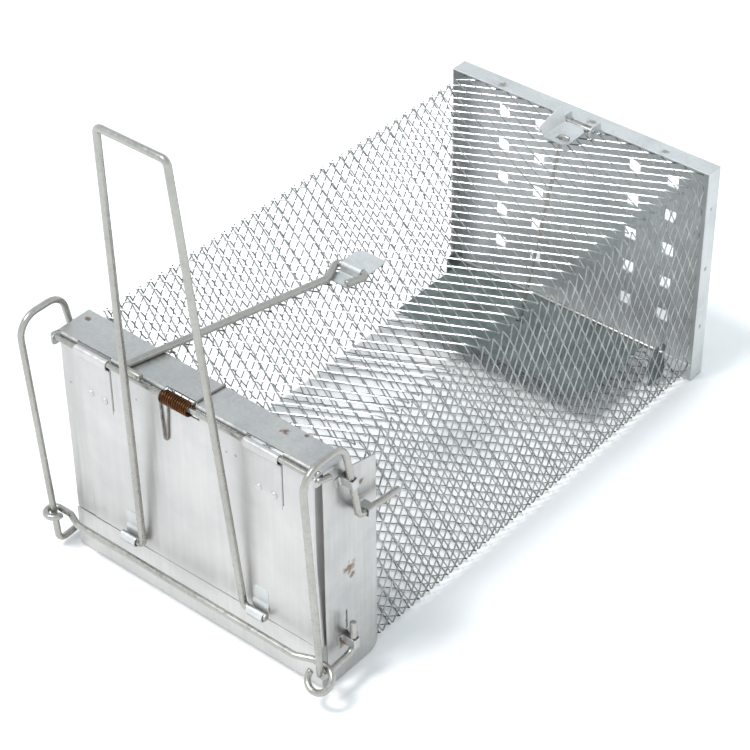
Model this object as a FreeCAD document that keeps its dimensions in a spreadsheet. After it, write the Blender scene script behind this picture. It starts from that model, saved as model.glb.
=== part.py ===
import FreeCAD
import Part

import math
import os

from FreeCAD import Vector

# Live catch trap: a mesh cage with a sheet collar and a sheet rear pan, a
# sprung drop door, a tall setting bail on the door, a holding rod on the roof,
# a treadle that trips a rear catch through a link, and a bar that drops down
# two guide wires and locks the door.
# Row frame: +X is to the right of someone who faces the trap's rear, +Y runs
# from the door to the rear pan, +Z is up. The origin is at the centre of the
# base, on the underside of the floor mesh. Lengths are in millimetres.

DIMENSIONS = [
    # the cage, the collar and the pan
    ("front_y", -135.0),
    ("cage_length", 270.0),
    ("collar_width", 141.5),
    ("collar_height", 115.4),
    ("collar_side_depth", 31.0),
    ("collar_top_depth", 15.0),
    ("sheet_gauge", 0.8),
    ("mesh_gauge", 0.5),
    ("mesh_gap", 0.25),
    ("mesh_tuck", 5.0),
    ("sill_face_height", 21.4),
    ("pan_width", 144.5),
    ("pan_height", 116.0),
    ("pan_depth", 10.0),
    ("vent_side", 6.0),
    ("vent_inner_column", 27.0),
    ("vent_outer_column", 48.0),
    ("vent_first_row", 22.5),
    ("vent_row_step", 18.7),
    ("vent_rows", 5.0),
    # the door and its hinge
    ("hinge_y", -3.0),
    ("hinge_z", 113.2),
    ("pin_radius", 1.2),
    ("pin_reach", 72.2),
    ("knuckle_bore", 1.27),
    ("knuckle_radius", 2.1),
    ("ear_depth", 5.2),
    ("ear_drop", 3.7),
    ("door_width", 138.6),
    ("door_face_y", -2.3),
    ("door_bottom", 22.2),
    ("door_top", 111.0),
    ("door_flange", 5.0),
    ("notch_width", 22.0),
    ("notch_centre", -2.0),
    ("notch_depth", 1.7),
    ("strap_width", 18.0),
    ("strap_gauge", 0.7),
    ("strap_bottom", 87.0),
    ("strap_left_x", -49.5),
    ("strap_right_x", 42.5),
    ("rivet_radius", 1.4),
    ("rivet_height", 0.6),
    ("rivet_spacing", 8.0),
    ("rivet_z", 91.5),
    # the door spring
    ("spring_wire", 0.45),
    ("spring_radius", 2.65),
    ("spring_left", -9.6),
    ("spring_right", 5.4),
    ("spring_turns", 8.0),
    ("spring_leg_bottom", 90.4),
    # the wires
    ("bail_wire_radius", 1.6),
    ("bail_foot_x", 28.5),
    ("bail_foot_shift", 1.8),
    ("bail_foot_y", -5.2),
    ("bail_foot_z", 25.5),
    ("bail_foot_end", 41.0),
    ("bail_top_x", 17.5),
    ("bail_top_y", -18.0),
    ("bail_top_z", 242.0),
    ("tab_bore", 1.67),
    ("tab_radius", 2.4),
    ("tab_inner_x", 31.5),
    ("tab_width", 8.5),
    ("tab_height", 12.0),
    ("rod_radius", 1.6),
    ("rod_z", 117.1),
    ("rod_tip_y", -3.9),
    ("rod_pivot_y", 105.2),
    ("saddle_left", -12.5),
    ("saddle_width", 15.0),
    ("saddle_front", 95.5),
    ("saddle_depth", 25.0),
    ("saddle_barrel_left", -8.4),
    ("saddle_barrel_right", 1.9),
    ("guide_radius", 1.5),
    ("guide_x", 75.5),
    ("guide_foot_y", -10.2),
    ("guide_foot_z", 20.0),
    ("guide_slope", 0.065),
    ("guide_low_z", 15.0),
    ("guide_left_low_z", 3.0),
    ("guide_high_z", 126.5),
    ("guide_arch_radius", 9.0),
    ("bar_radius", 1.5),
    ("bar_z", 20.0),
    ("bar_front_y", -9.8),
    ("ring_radius", 3.6),
    ("loop_radius", 5.6),
    ("loop_tilt", 45.0),
    ("clip_gauge", 0.7),
    ("clip_length", 4.6),
    # the treadle, the link and the catch
    ("treadle_left", -55.0),
    ("treadle_right", 52.0),
    ("treadle_front", 197.0),
    ("treadle_rear", 248.3),
    ("treadle_z", 17.6),
    ("axle_y", 249.5),
    ("axle_z", 18.0),
    ("axle_radius", 1.2),
    ("axle_reach", 63.0),
    ("bracket_x", 60.0),
    ("bracket_depth", 12.0),
    ("bracket_height", 19.5),
    ("link_radius", 0.9),
    ("link_hole", 2.1),
    ("link_top_x", 5.0),
    ("link_top_y", 240.0),
    ("link_foot_x", -4.0),
    ("link_foot_y", 228.0),
    ("catch_axis_y", 254.0),
    ("catch_axis_z", 118.0),
    ("catch_pin_radius", 1.0),
    ("catch_left", -1.0),
    ("catch_right", 11.0),
    ("catch_front", 236.0),
    ("catch_wing_height", 8.0),
    ("catch_ear_height", 4.4),
]

doc = FreeCAD.newDocument("live_catch_trap")
sheet = doc.addObject("Spreadsheet::Sheet", "dims")
for row, (alias, number) in enumerate(DIMENSIONS, start=1):
    sheet.set(f"A{row}", alias)
    sheet.set(f"B{row}", str(number))
    sheet.setAlias(f"B{row}", alias)
doc.recompute()

nodes = []


def dim(alias):
    """Return a sheet value in millimetres."""
    return float(getattr(sheet, alias))


def bound(text):
    """Turn words that are sheet aliases into references to the sheet."""
    aliases = {alias for alias, _ in DIMENSIONS}
    words = text.replace("(", " ( ").replace(")", " ) ").split()
    return " ".join(f"dims.{word}" if word in aliases else word for word in words)


def bind(item, prop, text):
    item.setExpression(prop, bound(text))


def place(item, x, y, z):
    """Bind an object's position; y counts from the collar's front plane."""
    bind(item, "Placement.Base.x", x)
    bind(item, "Placement.Base.y", f"front_y + {y}")
    bind(item, "Placement.Base.z", z)


def block(name, start, size):
    """Add a box from three start and three size expressions."""
    item = doc.addObject("Part::Box", name)
    place(item, *start)
    for prop, text in zip(("Length", "Width", "Height"), size):
        bind(item, prop, text)
    return item


def rod_along_x(name, start_x, length, y, z, radius):
    """Add a cylinder whose axis runs along +X."""
    item = doc.addObject("Part::Cylinder", name)
    item.Placement.Rotation = FreeCAD.Rotation(Vector(0, 1, 0), 90)
    place(item, start_x, y, z)
    bind(item, "Height", length)
    bind(item, "Radius", radius)
    return item


def join(label, kind, first, second):
    """Combine two objects with a Part boolean; the result keeps the label."""
    item = doc.addObject(kind, label)
    item.Base = first
    item.Tool = second
    return item


def keep(item, label):
    """Name a finished sub-part and list it for export."""
    item.Label = label
    nodes.append(item)
    return item


def plate(label, start, size):
    return keep(block(label, start, size), label)


def origin_plane(body, role):
    for feature in body.Origin.OriginFeatures:
        if feature.Role == role:
            return feature
    raise ValueError(role)


def rectangle(body, name, role, offset, corner, size):
    """Sketch one rectangle on an origin plane of the body.

    The corner and the size are expressions, and the offset is along the
    plane's normal.
    """
    sketch = body.newObject("Sketcher::SketchObject", name)
    sketch.AttachmentSupport = [(origin_plane(body, role), "")]
    sketch.MapMode = "FlatFace"
    bind(sketch, "AttachmentOffset.Base.z", offset)
    add_rectangle(sketch, corner, size)
    return sketch


def add_rectangle(sketch, corner, size):
    """Draw a rectangle whose four constraints are bound to the sheet."""
    import Sketcher

    first = sketch.GeometryCount
    ends = [Vector(1, 1, 0), Vector(3, 1, 0), Vector(3, 2, 0), Vector(1, 2, 0)]
    for index in range(4):
        sketch.addGeometry(Part.LineSegment(ends[index], ends[(index + 1) % 4]), False)
    for index in range(4):
        following = first + (index + 1) % 4
        sketch.addConstraint(Sketcher.Constraint("Coincident", first + index, 2, following, 1))
    for index in (0, 2):
        sketch.addConstraint(Sketcher.Constraint("Horizontal", first + index))
        sketch.addConstraint(Sketcher.Constraint("Vertical", first + index + 1))
    bound_constraints = [
        (Sketcher.Constraint("DistanceX", -1, 1, first, 1, 1.0), corner[0]),
        (Sketcher.Constraint("DistanceY", -1, 1, first, 1, 1.0), corner[1]),
        (Sketcher.Constraint("DistanceX", first, 1, first, 2, 2.0), size[0]),
        (Sketcher.Constraint("DistanceY", first + 1, 1, first + 1, 2, 1.0), size[1]),
    ]
    for constraint, text in bound_constraints:
        index = sketch.addConstraint(constraint)
        bind(sketch, f"Constraints[{index}]", text)


def pad(body, sketch, name, length, backwards=False):
    feature = body.newObject("PartDesign::Pad", name)
    feature.Profile = sketch
    bind(feature, "Length", length)
    feature.Reversed = backwards
    return feature


def pocket_through(body, sketch, name):
    feature = body.newObject("PartDesign::Pocket", name)
    feature.Profile = sketch
    feature.Type = "ThroughAll"
    feature.Midplane = True
    return feature


def bent_path(points, radius, wider=None):
    """Return straight runs joined by tangent arcs through the points.

    Args:
        points: the corners, with the two ends.
        radius: bend radius of the centre line.
        wider: other bend radii, by the number of their corner.
    """
    edges = []
    start = points[0]
    bends = [radius] * len(points)
    for number, other in (wider or {}).items():
        bends[number] = other
    corners = zip(points, points[1:], points[2:], bends[1:])
    for before, corner, after, bend in corners:
        inward = (before - corner).normalize()
        outward = (after - corner).normalize()
        turn = math.pi - inward.getAngle(outward)
        reach = bend * math.tan(turn / 2)
        arc_start = corner + inward * reach
        arc_end = corner + outward * reach
        bisector = (inward + outward).normalize()
        centre = corner + bisector * (bend / math.cos(turn / 2))
        middle = centre - bisector * bend
        edges.append(Part.LineSegment(start, arc_start).toShape())
        edges.append(Part.Arc(arc_start, middle, arc_end).toShape())
        start = arc_end
    edges.append(Part.LineSegment(start, points[-1]).toShape())
    return Part.Wire(edges)


def tube(path, radius):
    """Sweep a round section along a path."""
    first = path.OrderedEdges[0]
    start = first.valueAt(first.FirstParameter)
    heading = first.tangentAt(first.FirstParameter)
    section = Part.Wire([Part.makeCircle(radius, start, heading)])
    return path.makePipeShell([section], True, False)


def shape_node(label, shape):
    """Add a sub-part whose shape is worked out here."""
    item = doc.addObject("Part::Feature", label)
    item.Shape = shape
    item.Placement = FreeCAD.Placement()
    return keep(item, label)


def at(x, y, z):
    """Return a point; y counts from the collar's front plane."""
    return Vector(x, dim("front_y") + y, z)


# ---- collar -----------------------------------------------------------------

INNER_WIDTH = "( collar_width - 2 * sheet_gauge )"


def build_collar():
    """Build the sheet collar round the door opening as plain plates."""
    plate(
        "frame_top_plate",
        (f"- {INNER_WIDTH} / 2", "0", "collar_height - sheet_gauge"),
        (INNER_WIDTH, "collar_top_depth", "sheet_gauge"),
    )
    for label, start in (
        ("frame_side_left", "- collar_width / 2"),
        ("frame_side_right", "collar_width / 2 - sheet_gauge"),
    ):
        wall = block(
            f"{label}_wall", (start, "0", "0"), ("sheet_gauge", "collar_side_depth", "collar_height")
        )
        ear_bottom = "hinge_z - ear_drop"
        ear = block(
            f"{label}_ear",
            (start, "- ear_depth", ear_bottom),
            ("sheet_gauge", "ear_depth", f"collar_height - ( {ear_bottom} )"),
        )
        hole = rod_along_x(
            f"{label}_hole", f"{start} - 1", "sheet_gauge + 2", "hinge_y", "hinge_z", "knuckle_bore"
        )
        blank = join(f"{label}_blank", "Part::Fuse", wall, ear)
        keep(join(label, "Part::Cut", blank, hole), label)
    plate(
        "frame_sill_plate",
        (f"- {INNER_WIDTH} / 2", "door_face_y + sheet_gauge", "0"),
        (INNER_WIDTH, "collar_side_depth - door_face_y - sheet_gauge", "sheet_gauge"),
    )
    plate(
        "frame_sill_face",
        ("- door_width / 2", "door_face_y", "0"),
        ("door_width", "sheet_gauge", "sill_face_height"),
    )


# ---- mesh cage --------------------------------------------------------------


def build_mesh():
    """Build the four mesh panels as thin plain sheets."""
    outer = "( collar_width / 2 - sheet_gauge - mesh_gap )"
    roof_top = "( collar_height - sheet_gauge - mesh_gap )"
    rear = "( cage_length - pan_depth + mesh_tuck )"
    roof = block(
        "mesh_roof_sheet",
        (f"- {outer}", "collar_top_depth - mesh_tuck", f"{roof_top} - mesh_gauge"),
        (f"2 * {outer}", f"{rear} - collar_top_depth + mesh_tuck", "mesh_gauge"),
    )
    window = block(
        "mesh_roof_window",
        ("link_top_x - 5", "link_top_y - 7", f"{roof_top} - 2"),
        ("10", "10", "4"),
    )
    keep(join("mesh_top", "Part::Cut", roof, window), "mesh_top")
    for label, start in (("mesh_left", f"- {outer}"), ("mesh_right", f"{outer} - mesh_gauge")):
        plate(
            label,
            (start, "collar_side_depth - mesh_tuck", "sheet_gauge"),
            (
                "mesh_gauge",
                f"{rear} - collar_side_depth + mesh_tuck",
                f"{roof_top} - mesh_gauge - sheet_gauge",
            ),
        )
    plate(
        "mesh_floor",
        (f"- {outer}", "collar_side_depth", "0"),
        (f"2 * {outer}", "cage_length - pan_depth - collar_side_depth", "mesh_gauge"),
    )


# ---- rear pan ---------------------------------------------------------------


def build_pan():
    """Build the rear pan: a vented back and four flanges over the mesh."""
    body = doc.addObject("PartDesign::Body", "pan_back")
    back = rectangle(
        body,
        "pan_back_outline",
        "XZ_Plane",
        "- ( front_y + cage_length )",
        ("- pan_width / 2", "0"),
        ("pan_width", "pan_height"),
    )
    pad(body, back, "pan_back_sheet", "sheet_gauge")
    vents = rectangle(
        body,
        "pan_back_vents",
        "XZ_Plane",
        "- ( front_y + cage_length )",
        ("- vent_outer_column - vent_side / 2", "vent_first_row - vent_side / 2"),
        ("vent_side", "vent_side"),
    )
    for column in ("- vent_inner_column", "vent_inner_column", "vent_outer_column"):
        add_rectangle(
            vents,
            (f"{column} - vent_side / 2", "vent_first_row - vent_side / 2"),
            ("vent_side", "vent_side"),
        )
    vent_row = pocket_through(body, vents, "pan_back_vent_row")
    doc.recompute()
    rows = body.newObject("PartDesign::LinearPattern", "pan_back_vent_rows")
    rows.Originals = [vent_row]
    rows.Direction = (origin_plane(body, "Z_Axis"), [""])
    bind(rows, "Length", "vent_row_step * ( vent_rows - 1 )")
    rows.Occurrences = int(dim("vent_rows"))
    body.Tip = rows
    keep(body, "pan_back")

    front = "cage_length - pan_depth"
    reach = "pan_depth - sheet_gauge"
    side_height = "pan_height - 2 * sheet_gauge"
    plate(
        "pan_flange_top",
        ("- pan_width / 2", front, "pan_height - sheet_gauge"),
        ("pan_width", reach, "sheet_gauge"),
    )
    plate("pan_flange_bottom", ("- pan_width / 2", front, "0"), ("pan_width", reach, "sheet_gauge"))
    plate(
        "pan_flange_left",
        ("- pan_width / 2", front, "sheet_gauge"),
        ("sheet_gauge", reach, side_height),
    )
    plate(
        "pan_flange_right",
        ("pan_width / 2 - sheet_gauge", front, "sheet_gauge"),
        ("sheet_gauge", reach, side_height),
    )


# ---- door -------------------------------------------------------------------


def build_door():
    """Build the door with its bent side edges and the notch for the spring."""
    body = doc.addObject("PartDesign::Body", "door_panel")
    face = rectangle(
        body,
        "door_outline",
        "XZ_Plane",
        "- ( front_y + door_face_y + sheet_gauge )",
        ("- door_width / 2", "door_bottom"),
        ("door_width", "door_top - door_bottom"),
    )
    pad(body, face, "door_sheet", "sheet_gauge")
    for name, corner in (
        ("door_edge_left", "- door_width / 2"),
        ("door_edge_right", "door_width / 2 - sheet_gauge"),
    ):
        edge = rectangle(
            body,
            f"{name}_outline",
            "XZ_Plane",
            "- ( front_y + door_face_y + sheet_gauge )",
            (corner, "door_bottom"),
            ("sheet_gauge", "door_top - door_bottom"),
        )
        pad(body, edge, name, "door_flange", backwards=True)
    notch = rectangle(
        body,
        "door_notch_outline",
        "XZ_Plane",
        "- ( front_y + door_face_y )",
        ("notch_centre - notch_width / 2", "door_top - notch_depth"),
        ("notch_width", "notch_depth + 1"),
    )
    body.Tip = pocket_through(body, notch, "door_notch")
    keep(body, "door_panel")


def build_straps():
    """Build the two hinge straps, each with its rolled knuckle."""
    for label, centre in (("hinge_strap_left", "strap_left_x"), ("hinge_strap_right", "strap_right_x")):
        start = f"{centre} - strap_width / 2"
        leaf = block(
            f"{label}_leaf",
            (start, "door_face_y - strap_gauge", "strap_bottom"),
            ("strap_width", "strap_gauge", "hinge_z - knuckle_bore - 0.2 - strap_bottom"),
        )
        knuckle = rod_along_x(
            f"{label}_knuckle", start, "strap_width", "hinge_y", "hinge_z", "knuckle_radius"
        )
        blank = join(f"{label}_blank", "Part::Fuse", leaf, knuckle)
        bore = rod_along_x(
            f"{label}_bore", f"{start} - 1", "strap_width + 2", "hinge_y", "hinge_z", "knuckle_bore"
        )
        keep(join(label, "Part::Cut", blank, bore), label)


def build_rivets():
    """Build the strap rivets, alike, as one node."""
    heads = []
    for centre in ("strap_left_x", "strap_right_x"):
        for side in (-1, 1):
            x = dim(centre) + side * dim("rivet_spacing") / 2
            y = dim("door_face_y") - dim("strap_gauge")
            foot = at(x, y, dim("rivet_z"))
            heads.append(
                Part.makeCylinder(dim("rivet_radius"), dim("rivet_height"), foot, Vector(0, -1, 0))
            )
    shape_node("strap_rivets", Part.makeCompound(heads))


def build_hinge_pin():
    """Build the pin wire; its ends are bent back outside the collar."""
    reach = dim("pin_reach")
    y = dim("hinge_y")
    z = dim("hinge_z")
    bend = 2.2 * dim("pin_radius")
    points = [at(-reach, y + 6, z), at(-reach, y, z), at(reach, y, z), at(reach, y + 6, z)]
    # The bends start outside the ears, so the pin is straight in their holes.
    path = bent_path(points, min(bend, reach - dim("collar_width") / 2 - 0.2))
    shape_node("hinge_pin", tube(path, dim("pin_radius")))


def build_spring():
    """Build the coil on the pin with its rear leg, and the leg on the door."""
    wire = dim("spring_wire")
    radius = dim("spring_radius")
    left = dim("spring_left")
    width = dim("spring_right") - left
    helix = Part.makeHelix(width / dim("spring_turns"), width, radius)
    # The helix axis is turned to +X and its start is set on top of the pin.
    helix.rotate(Vector(0, 0, 0), Vector(0, 1, 0), 90)
    helix.translate(at(left, dim("hinge_y"), dim("hinge_z")))
    start_edge = Part.Wire(helix.Edges).OrderedEdges[0]
    start = start_edge.valueAt(start_edge.FirstParameter)
    heading = start_edge.tangentAt(start_edge.FirstParameter)
    section = Part.Wire([Part.makeCircle(wire, start, heading)])
    coil = Part.Wire(helix.Edges).makePipeShell([section], True, True)
    last_edge = Part.Wire(helix.Edges).OrderedEdges[-1]
    end = last_edge.valueAt(last_edge.LastParameter)
    leg_z = dim("collar_height") + wire + 0.05
    leg_points = [end, at(dim("spring_right") + 0.6, 1.0, leg_z), at(dim("spring_right") + 2, 15, leg_z)]
    leg = tube(bent_path(leg_points, 1.5), wire)
    shape_node("torsion_spring", coil.fuse(leg))

    y = dim("door_face_y") - wire - 0.05
    top = dim("door_top") - dim("notch_depth") - 0.3
    bottom = dim("spring_leg_bottom")
    hairpin = [
        at(left - 2.4, y, top),
        at(left - 1.4, y, bottom),
        at(left + 0.4, y, bottom),
        at(left + 2, y, top),
    ]
    shape_node("spring_door_leg", tube(bent_path(hairpin, 0.85), wire))


# ---- bail -------------------------------------------------------------------


def build_bail():
    """Build the tall setting bail; its feet turn outward into the door tabs."""
    foot = dim("bail_foot_x")
    shift = dim("bail_foot_shift")
    foot_y = dim("bail_foot_y")
    foot_z = dim("bail_foot_z")
    top = dim("bail_top_x")
    top_y = dim("bail_top_y")
    top_z = dim("bail_top_z")
    points = [
        at(shift - dim("bail_foot_end"), foot_y, foot_z),
        at(shift - foot, foot_y, foot_z),
        at(-top, top_y, top_z),
        at(top, top_y, top_z),
        at(shift + foot, foot_y, foot_z),
        at(shift + dim("bail_foot_end"), foot_y, foot_z),
    ]
    bend = 1.6 * dim("bail_wire_radius")
    shape_node("bail_wire", tube(bent_path(points, bend), dim("bail_wire_radius")))


def build_bail_tabs():
    """Build the two tabs on the door, rolled round the feet of the bail."""
    for label, start in (
        ("bail_tab_left", "bail_foot_shift - tab_inner_x - tab_width"),
        ("bail_tab_right", "bail_foot_shift + tab_inner_x"),
    ):
        leaf = block(
            f"{label}_leaf",
            (start, "door_face_y - strap_gauge", "bail_foot_z"),
            ("tab_width", "strap_gauge", "tab_height"),
        )
        roll = rod_along_x(
            f"{label}_roll", start, "tab_width", "bail_foot_y", "bail_foot_z", "tab_radius"
        )
        blank = join(f"{label}_blank", "Part::Fuse", leaf, roll)
        bore = rod_along_x(
            f"{label}_bore", f"{start} - 1", "tab_width + 2", "bail_foot_y", "bail_foot_z", "tab_bore"
        )
        keep(join(label, "Part::Cut", blank, bore), label)


# ---- holding rod and its saddle --------------------------------------------


def build_rod():
    """Build the holding rod: a hooked tip and a cranked end in the saddle."""
    z = dim("rod_z")
    pivot = dim("rod_pivot_y")
    points = [
        at(-20.5, dim("rod_tip_y"), z),
        at(-31.6, dim("rod_tip_y"), z),
        at(-7.0, pivot - 12.2, z),
        at(-12.0, pivot, z),
        at(5.4, pivot, z),
        at(1.2, pivot - 10.0, z),
    ]
    shape_node("holding_rod", tube(bent_path(points, 2.2), dim("rod_radius")))


def build_saddle():
    """Build the saddle clip: a plate on the roof mesh with a rolled barrel."""
    base_z = "collar_height - sheet_gauge - mesh_gap"
    leaf = block(
        "saddle_leaf",
        ("saddle_left", "saddle_front", base_z),
        ("saddle_width", "saddle_depth", f"rod_z - tab_radius + 0.15 - ( {base_z} )"),
    )
    length = "saddle_barrel_right - saddle_barrel_left"
    roll = rod_along_x(
        "saddle_roll", "saddle_barrel_left", length, "rod_pivot_y", "rod_z", "tab_radius"
    )
    blank = join("saddle_blank", "Part::Fuse", leaf, roll)
    bore = rod_along_x(
        "saddle_bore", "saddle_barrel_left - 1", f"{length} + 2", "rod_pivot_y", "rod_z", "tab_bore"
    )
    keep(join("saddle_clip", "Part::Cut", blank, bore), "saddle_clip")


# ---- guide wires, their clips and the locking bar ---------------------------


def guide_points(side):
    """Return the guide wire's corners for side -1 (left) or 1 (right)."""
    x = side * dim("guide_x")
    low = dim("guide_low_z") if side > 0 else dim("guide_left_low_z")
    high = dim("guide_high_z")
    slope = dim("guide_slope")
    front_low = dim("guide_foot_y") + slope * (dim("guide_foot_z") - low)
    front_high = dim("guide_foot_y") - slope * (high - dim("guide_foot_z"))
    return [
        at(x, 39.4, 83.0),
        at(x, 15.0, 85.5),
        at(x, 7.0, high),
        at(x, front_high, high),
        at(x, front_low, low),
        at(x, 10.4, low + 1.5),
        at(x, 10.4, 32.0),
    ]


def build_guides():
    """Build the two guide wires with a wide arch over their tops."""
    arch = {number: dim("guide_arch_radius") for number in (2, 3)}
    for side, label in ((-1, "guide_wire_left"), (1, "guide_wire_right")):
        path = bent_path(guide_points(side), 4.0, arch)
        shape_node(label, tube(path, dim("guide_radius")))


def clip_shape(side, centre, lean):
    """Return one lanced clip that straps the wire to the collar's side.

    Args:
        side: -1 for the left side, 1 for the right.
        centre: point on the wire's centre line.
        lean: the wire's lean from upright, in degrees, towards +Y.
    """
    gauge = dim("clip_gauge")
    length = dim("clip_length")
    inner = dim("guide_radius") + 0.3
    wall = dim("collar_width") / 2
    depth = dim("guide_x") + inner - wall
    cover = Part.makeBox(depth + gauge, 2 * (inner + gauge), length, Vector(0, -inner - gauge, -length / 2))
    space = Part.makeBox(depth, 2 * inner, length + 2, Vector(0, -inner, -length / 2 - 1))
    clip = cover.cut(space)
    clip.rotate(Vector(0, 0, 0), Vector(1, 0, 0), -lean)
    if side < 0:
        clip = clip.mirror(Vector(0, 0, 0), Vector(1, 0, 0))
    clip.translate(Vector(side * wall, centre.y, centre.z))
    return clip


def lean_of(run):
    """Return a run's lean from upright, in degrees, towards +Y."""
    return math.degrees(math.atan2(run.y, run.z))


def build_clips():
    """Build the clips, three to a side and alike, as one node to a side."""
    for side, label in ((-1, "guide_clips_left"), (1, "guide_clips_right")):
        points = guide_points(side)
        leg_foot, leg_head = points[1], points[2]
        upper = leg_foot + (leg_head - leg_foot) * 0.48
        tail = points[0] - leg_foot
        lower = points[6] + (points[5] - points[6]) * 0.7
        clips = [
            clip_shape(side, upper, lean_of(leg_head - leg_foot)),
            clip_shape(side, leg_foot + tail * 0.24, lean_of(tail)),
            clip_shape(side, lower, 0),
        ]
        shape_node(label, Part.makeCompound(clips))


def build_bar():
    """Build the locking bar with an open ring round each guide wire.

    The left ring lies flat, and the right one is a larger loop that hangs
    down towards the front.
    """
    z = dim("bar_z")
    ring = dim("ring_radius")
    ring_x = dim("guide_x")
    ring_y = dim("guide_foot_y")
    rear = ring_y + ring
    front = dim("bar_front_y")
    crank_out = ring_x - 6.5
    crank_in = crank_out - 7.5
    points = [
        at(-ring_x, rear, z),
        at(-crank_out, rear, z),
        at(-crank_in, front, z),
        at(crank_in, front, z),
        at(crank_out, rear, z),
        at(ring_x, rear, z),
    ]
    bar_edges = bent_path(points, 3.0).Edges

    def ring_stops(side, radius, tilt):
        """Three points of an open ring that starts where the bar ends."""
        start = at(side * ring_x, rear, z)
        forward = Vector(0, -math.cos(tilt), -math.sin(tilt))
        turns = [math.radians(angle) for angle in (0, 140, 280)]
        return [
            start + forward * (radius - radius * math.cos(a)) + Vector(side * radius * math.sin(a), 0, 0)
            for a in turns
        ]

    left = Part.Arc(*reversed(ring_stops(-1, ring, 0))).toShape()
    loop_stops = ring_stops(1, dim("loop_radius"), math.radians(dim("loop_tilt")))
    right = Part.Arc(*loop_stops).toShape()
    path = Part.Wire([left] + bar_edges + [right])
    shape_node("lock_bar", tube(path, dim("bar_radius")))


# ---- treadle, link and catch ------------------------------------------------


def build_treadle():
    """Build the treadle plate with the link's hole, its axle and brackets."""
    body = doc.addObject("PartDesign::Body", "treadle_plate")
    outline = rectangle(
        body,
        "treadle_outline",
        "XY_Plane",
        "treadle_z",
        ("treadle_left", "front_y + treadle_front"),
        ("treadle_right - treadle_left", "treadle_rear - treadle_front"),
    )
    pad(body, outline, "treadle_sheet", "sheet_gauge")
    hole = rectangle(
        body,
        "treadle_hole_outline",
        "XY_Plane",
        "treadle_z",
        ("link_foot_x - link_hole", "front_y + link_foot_y - link_hole"),
        ("2 * link_hole", "2 * link_hole"),
    )
    body.Tip = pocket_through(body, hole, "treadle_hole")
    keep(body, "treadle_plate")
    keep(
        rod_along_x("treadle_axle", "- axle_reach", "2 * axle_reach", "axle_y", "axle_z", "axle_radius"),
        "treadle_axle",
    )
    for label, start in (
        ("treadle_bracket_left", "- bracket_x - sheet_gauge"),
        ("treadle_bracket_right", "bracket_x"),
    ):
        leaf = block(
            f"{label}_leaf",
            (start, "axle_y - bracket_depth / 2", "mesh_gauge"),
            ("sheet_gauge", "bracket_depth", "bracket_height + mesh_gauge"),
        )
        bore = rod_along_x(
            f"{label}_bore", f"{start} - 1", "sheet_gauge + 2", "axle_y", "axle_z", "axle_radius + 0.07"
        )
        keep(join(label, "Part::Cut", leaf, bore), label)


def build_link():
    """Build the link wire from the catch down to the treadle."""
    radius = dim("link_radius")
    top_x = dim("link_top_x")
    top_y = dim("link_top_y")
    foot_x = dim("link_foot_x")
    foot_y = dim("link_foot_y")
    above = dim("catch_axis_z") + dim("sheet_gauge") / 2 + radius + 0.35
    below = dim("treadle_z") - radius - 0.4
    points = [
        at(top_x + 5, top_y, above),
        at(top_x, top_y, above),
        at(top_x, top_y, above - 6),
        at(foot_x, foot_y, dim("treadle_z") + 6),
        at(foot_x, foot_y, below),
        at(foot_x - 5, foot_y, below),
    ]
    shape_node("catch_link", tube(bent_path(points, 1.4), radius))


def build_catch():
    """Build the catch lever with its upright wing, its pin and its ears."""
    axis_y = "catch_axis_y"
    axis_z = "catch_axis_z"
    bore = "catch_pin_radius + 0.07"
    width = "catch_right - catch_left"
    leaf = block(
        "catch_leaf",
        ("catch_left", "catch_front", f"{axis_z} - sheet_gauge / 2"),
        (width, f"{axis_y} - catch_pin_radius - 0.3 - catch_front", "sheet_gauge"),
    )
    wing = block(
        "catch_wing",
        ("catch_left", "catch_front", axis_z),
        ("sheet_gauge", f"{axis_y} - 4 - catch_front", "catch_wing_height"),
    )
    roll = rod_along_x("catch_roll", "catch_left", width, axis_y, axis_z, f"{bore} + 0.8")
    hollow = rod_along_x("catch_bore", "catch_left - 1", f"{width} + 2", axis_y, axis_z, bore)
    hole = block(
        "catch_hole",
        ("link_top_x - link_hole", "link_top_y - link_hole", f"{axis_z} - 2"),
        ("2 * link_hole", "2 * link_hole", "4"),
    )
    sheet_parts = join("catch_sheet", "Part::Fuse", leaf, wing)
    blank = join("catch_blank", "Part::Fuse", sheet_parts, roll)
    bored = join("catch_bored", "Part::Cut", blank, hollow)
    keep(join("catch_lever", "Part::Cut", bored, hole), "catch_lever")

    keep(
        rod_along_x(
            "catch_pin", "catch_left - 3", f"{width} + 6", axis_y, axis_z, "catch_pin_radius"
        ),
        "catch_pin",
    )
    for label, start in (
        ("catch_ear_left", "catch_left - 1.5 - sheet_gauge"),
        ("catch_ear_right", "catch_right + 1.5"),
    ):
        ear = block(
            f"{label}_leaf",
            (start, f"{axis_y} - 2.5", "pan_height - sheet_gauge"),
            ("sheet_gauge", f"cage_length - pan_depth - {axis_y} + 2.5", "catch_ear_height + 0.8"),
        )
        ear_bore = rod_along_x(f"{label}_bore", f"{start} - 1", "sheet_gauge + 2", axis_y, axis_z, bore)
        keep(join(label, "Part::Cut", ear, ear_bore), label)


build_collar()
build_mesh()
build_pan()
build_door()
build_straps()
build_rivets()
build_hinge_pin()
build_spring()
build_bail()
build_bail_tabs()
build_rod()
build_saddle()
build_guides()
build_clips()
build_bar()
build_treadle()
build_link()
build_catch()
doc.recompute()

for item in doc.Objects:
    if "Invalid" in item.State or "Error" in item.State:
        raise RuntimeError(f"{item.Label} did not recompute")
for item in nodes:
    if item.Shape.isNull() or not item.Shape.isValid():
        raise RuntimeError(f"{item.Label} has no valid shape")

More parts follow.
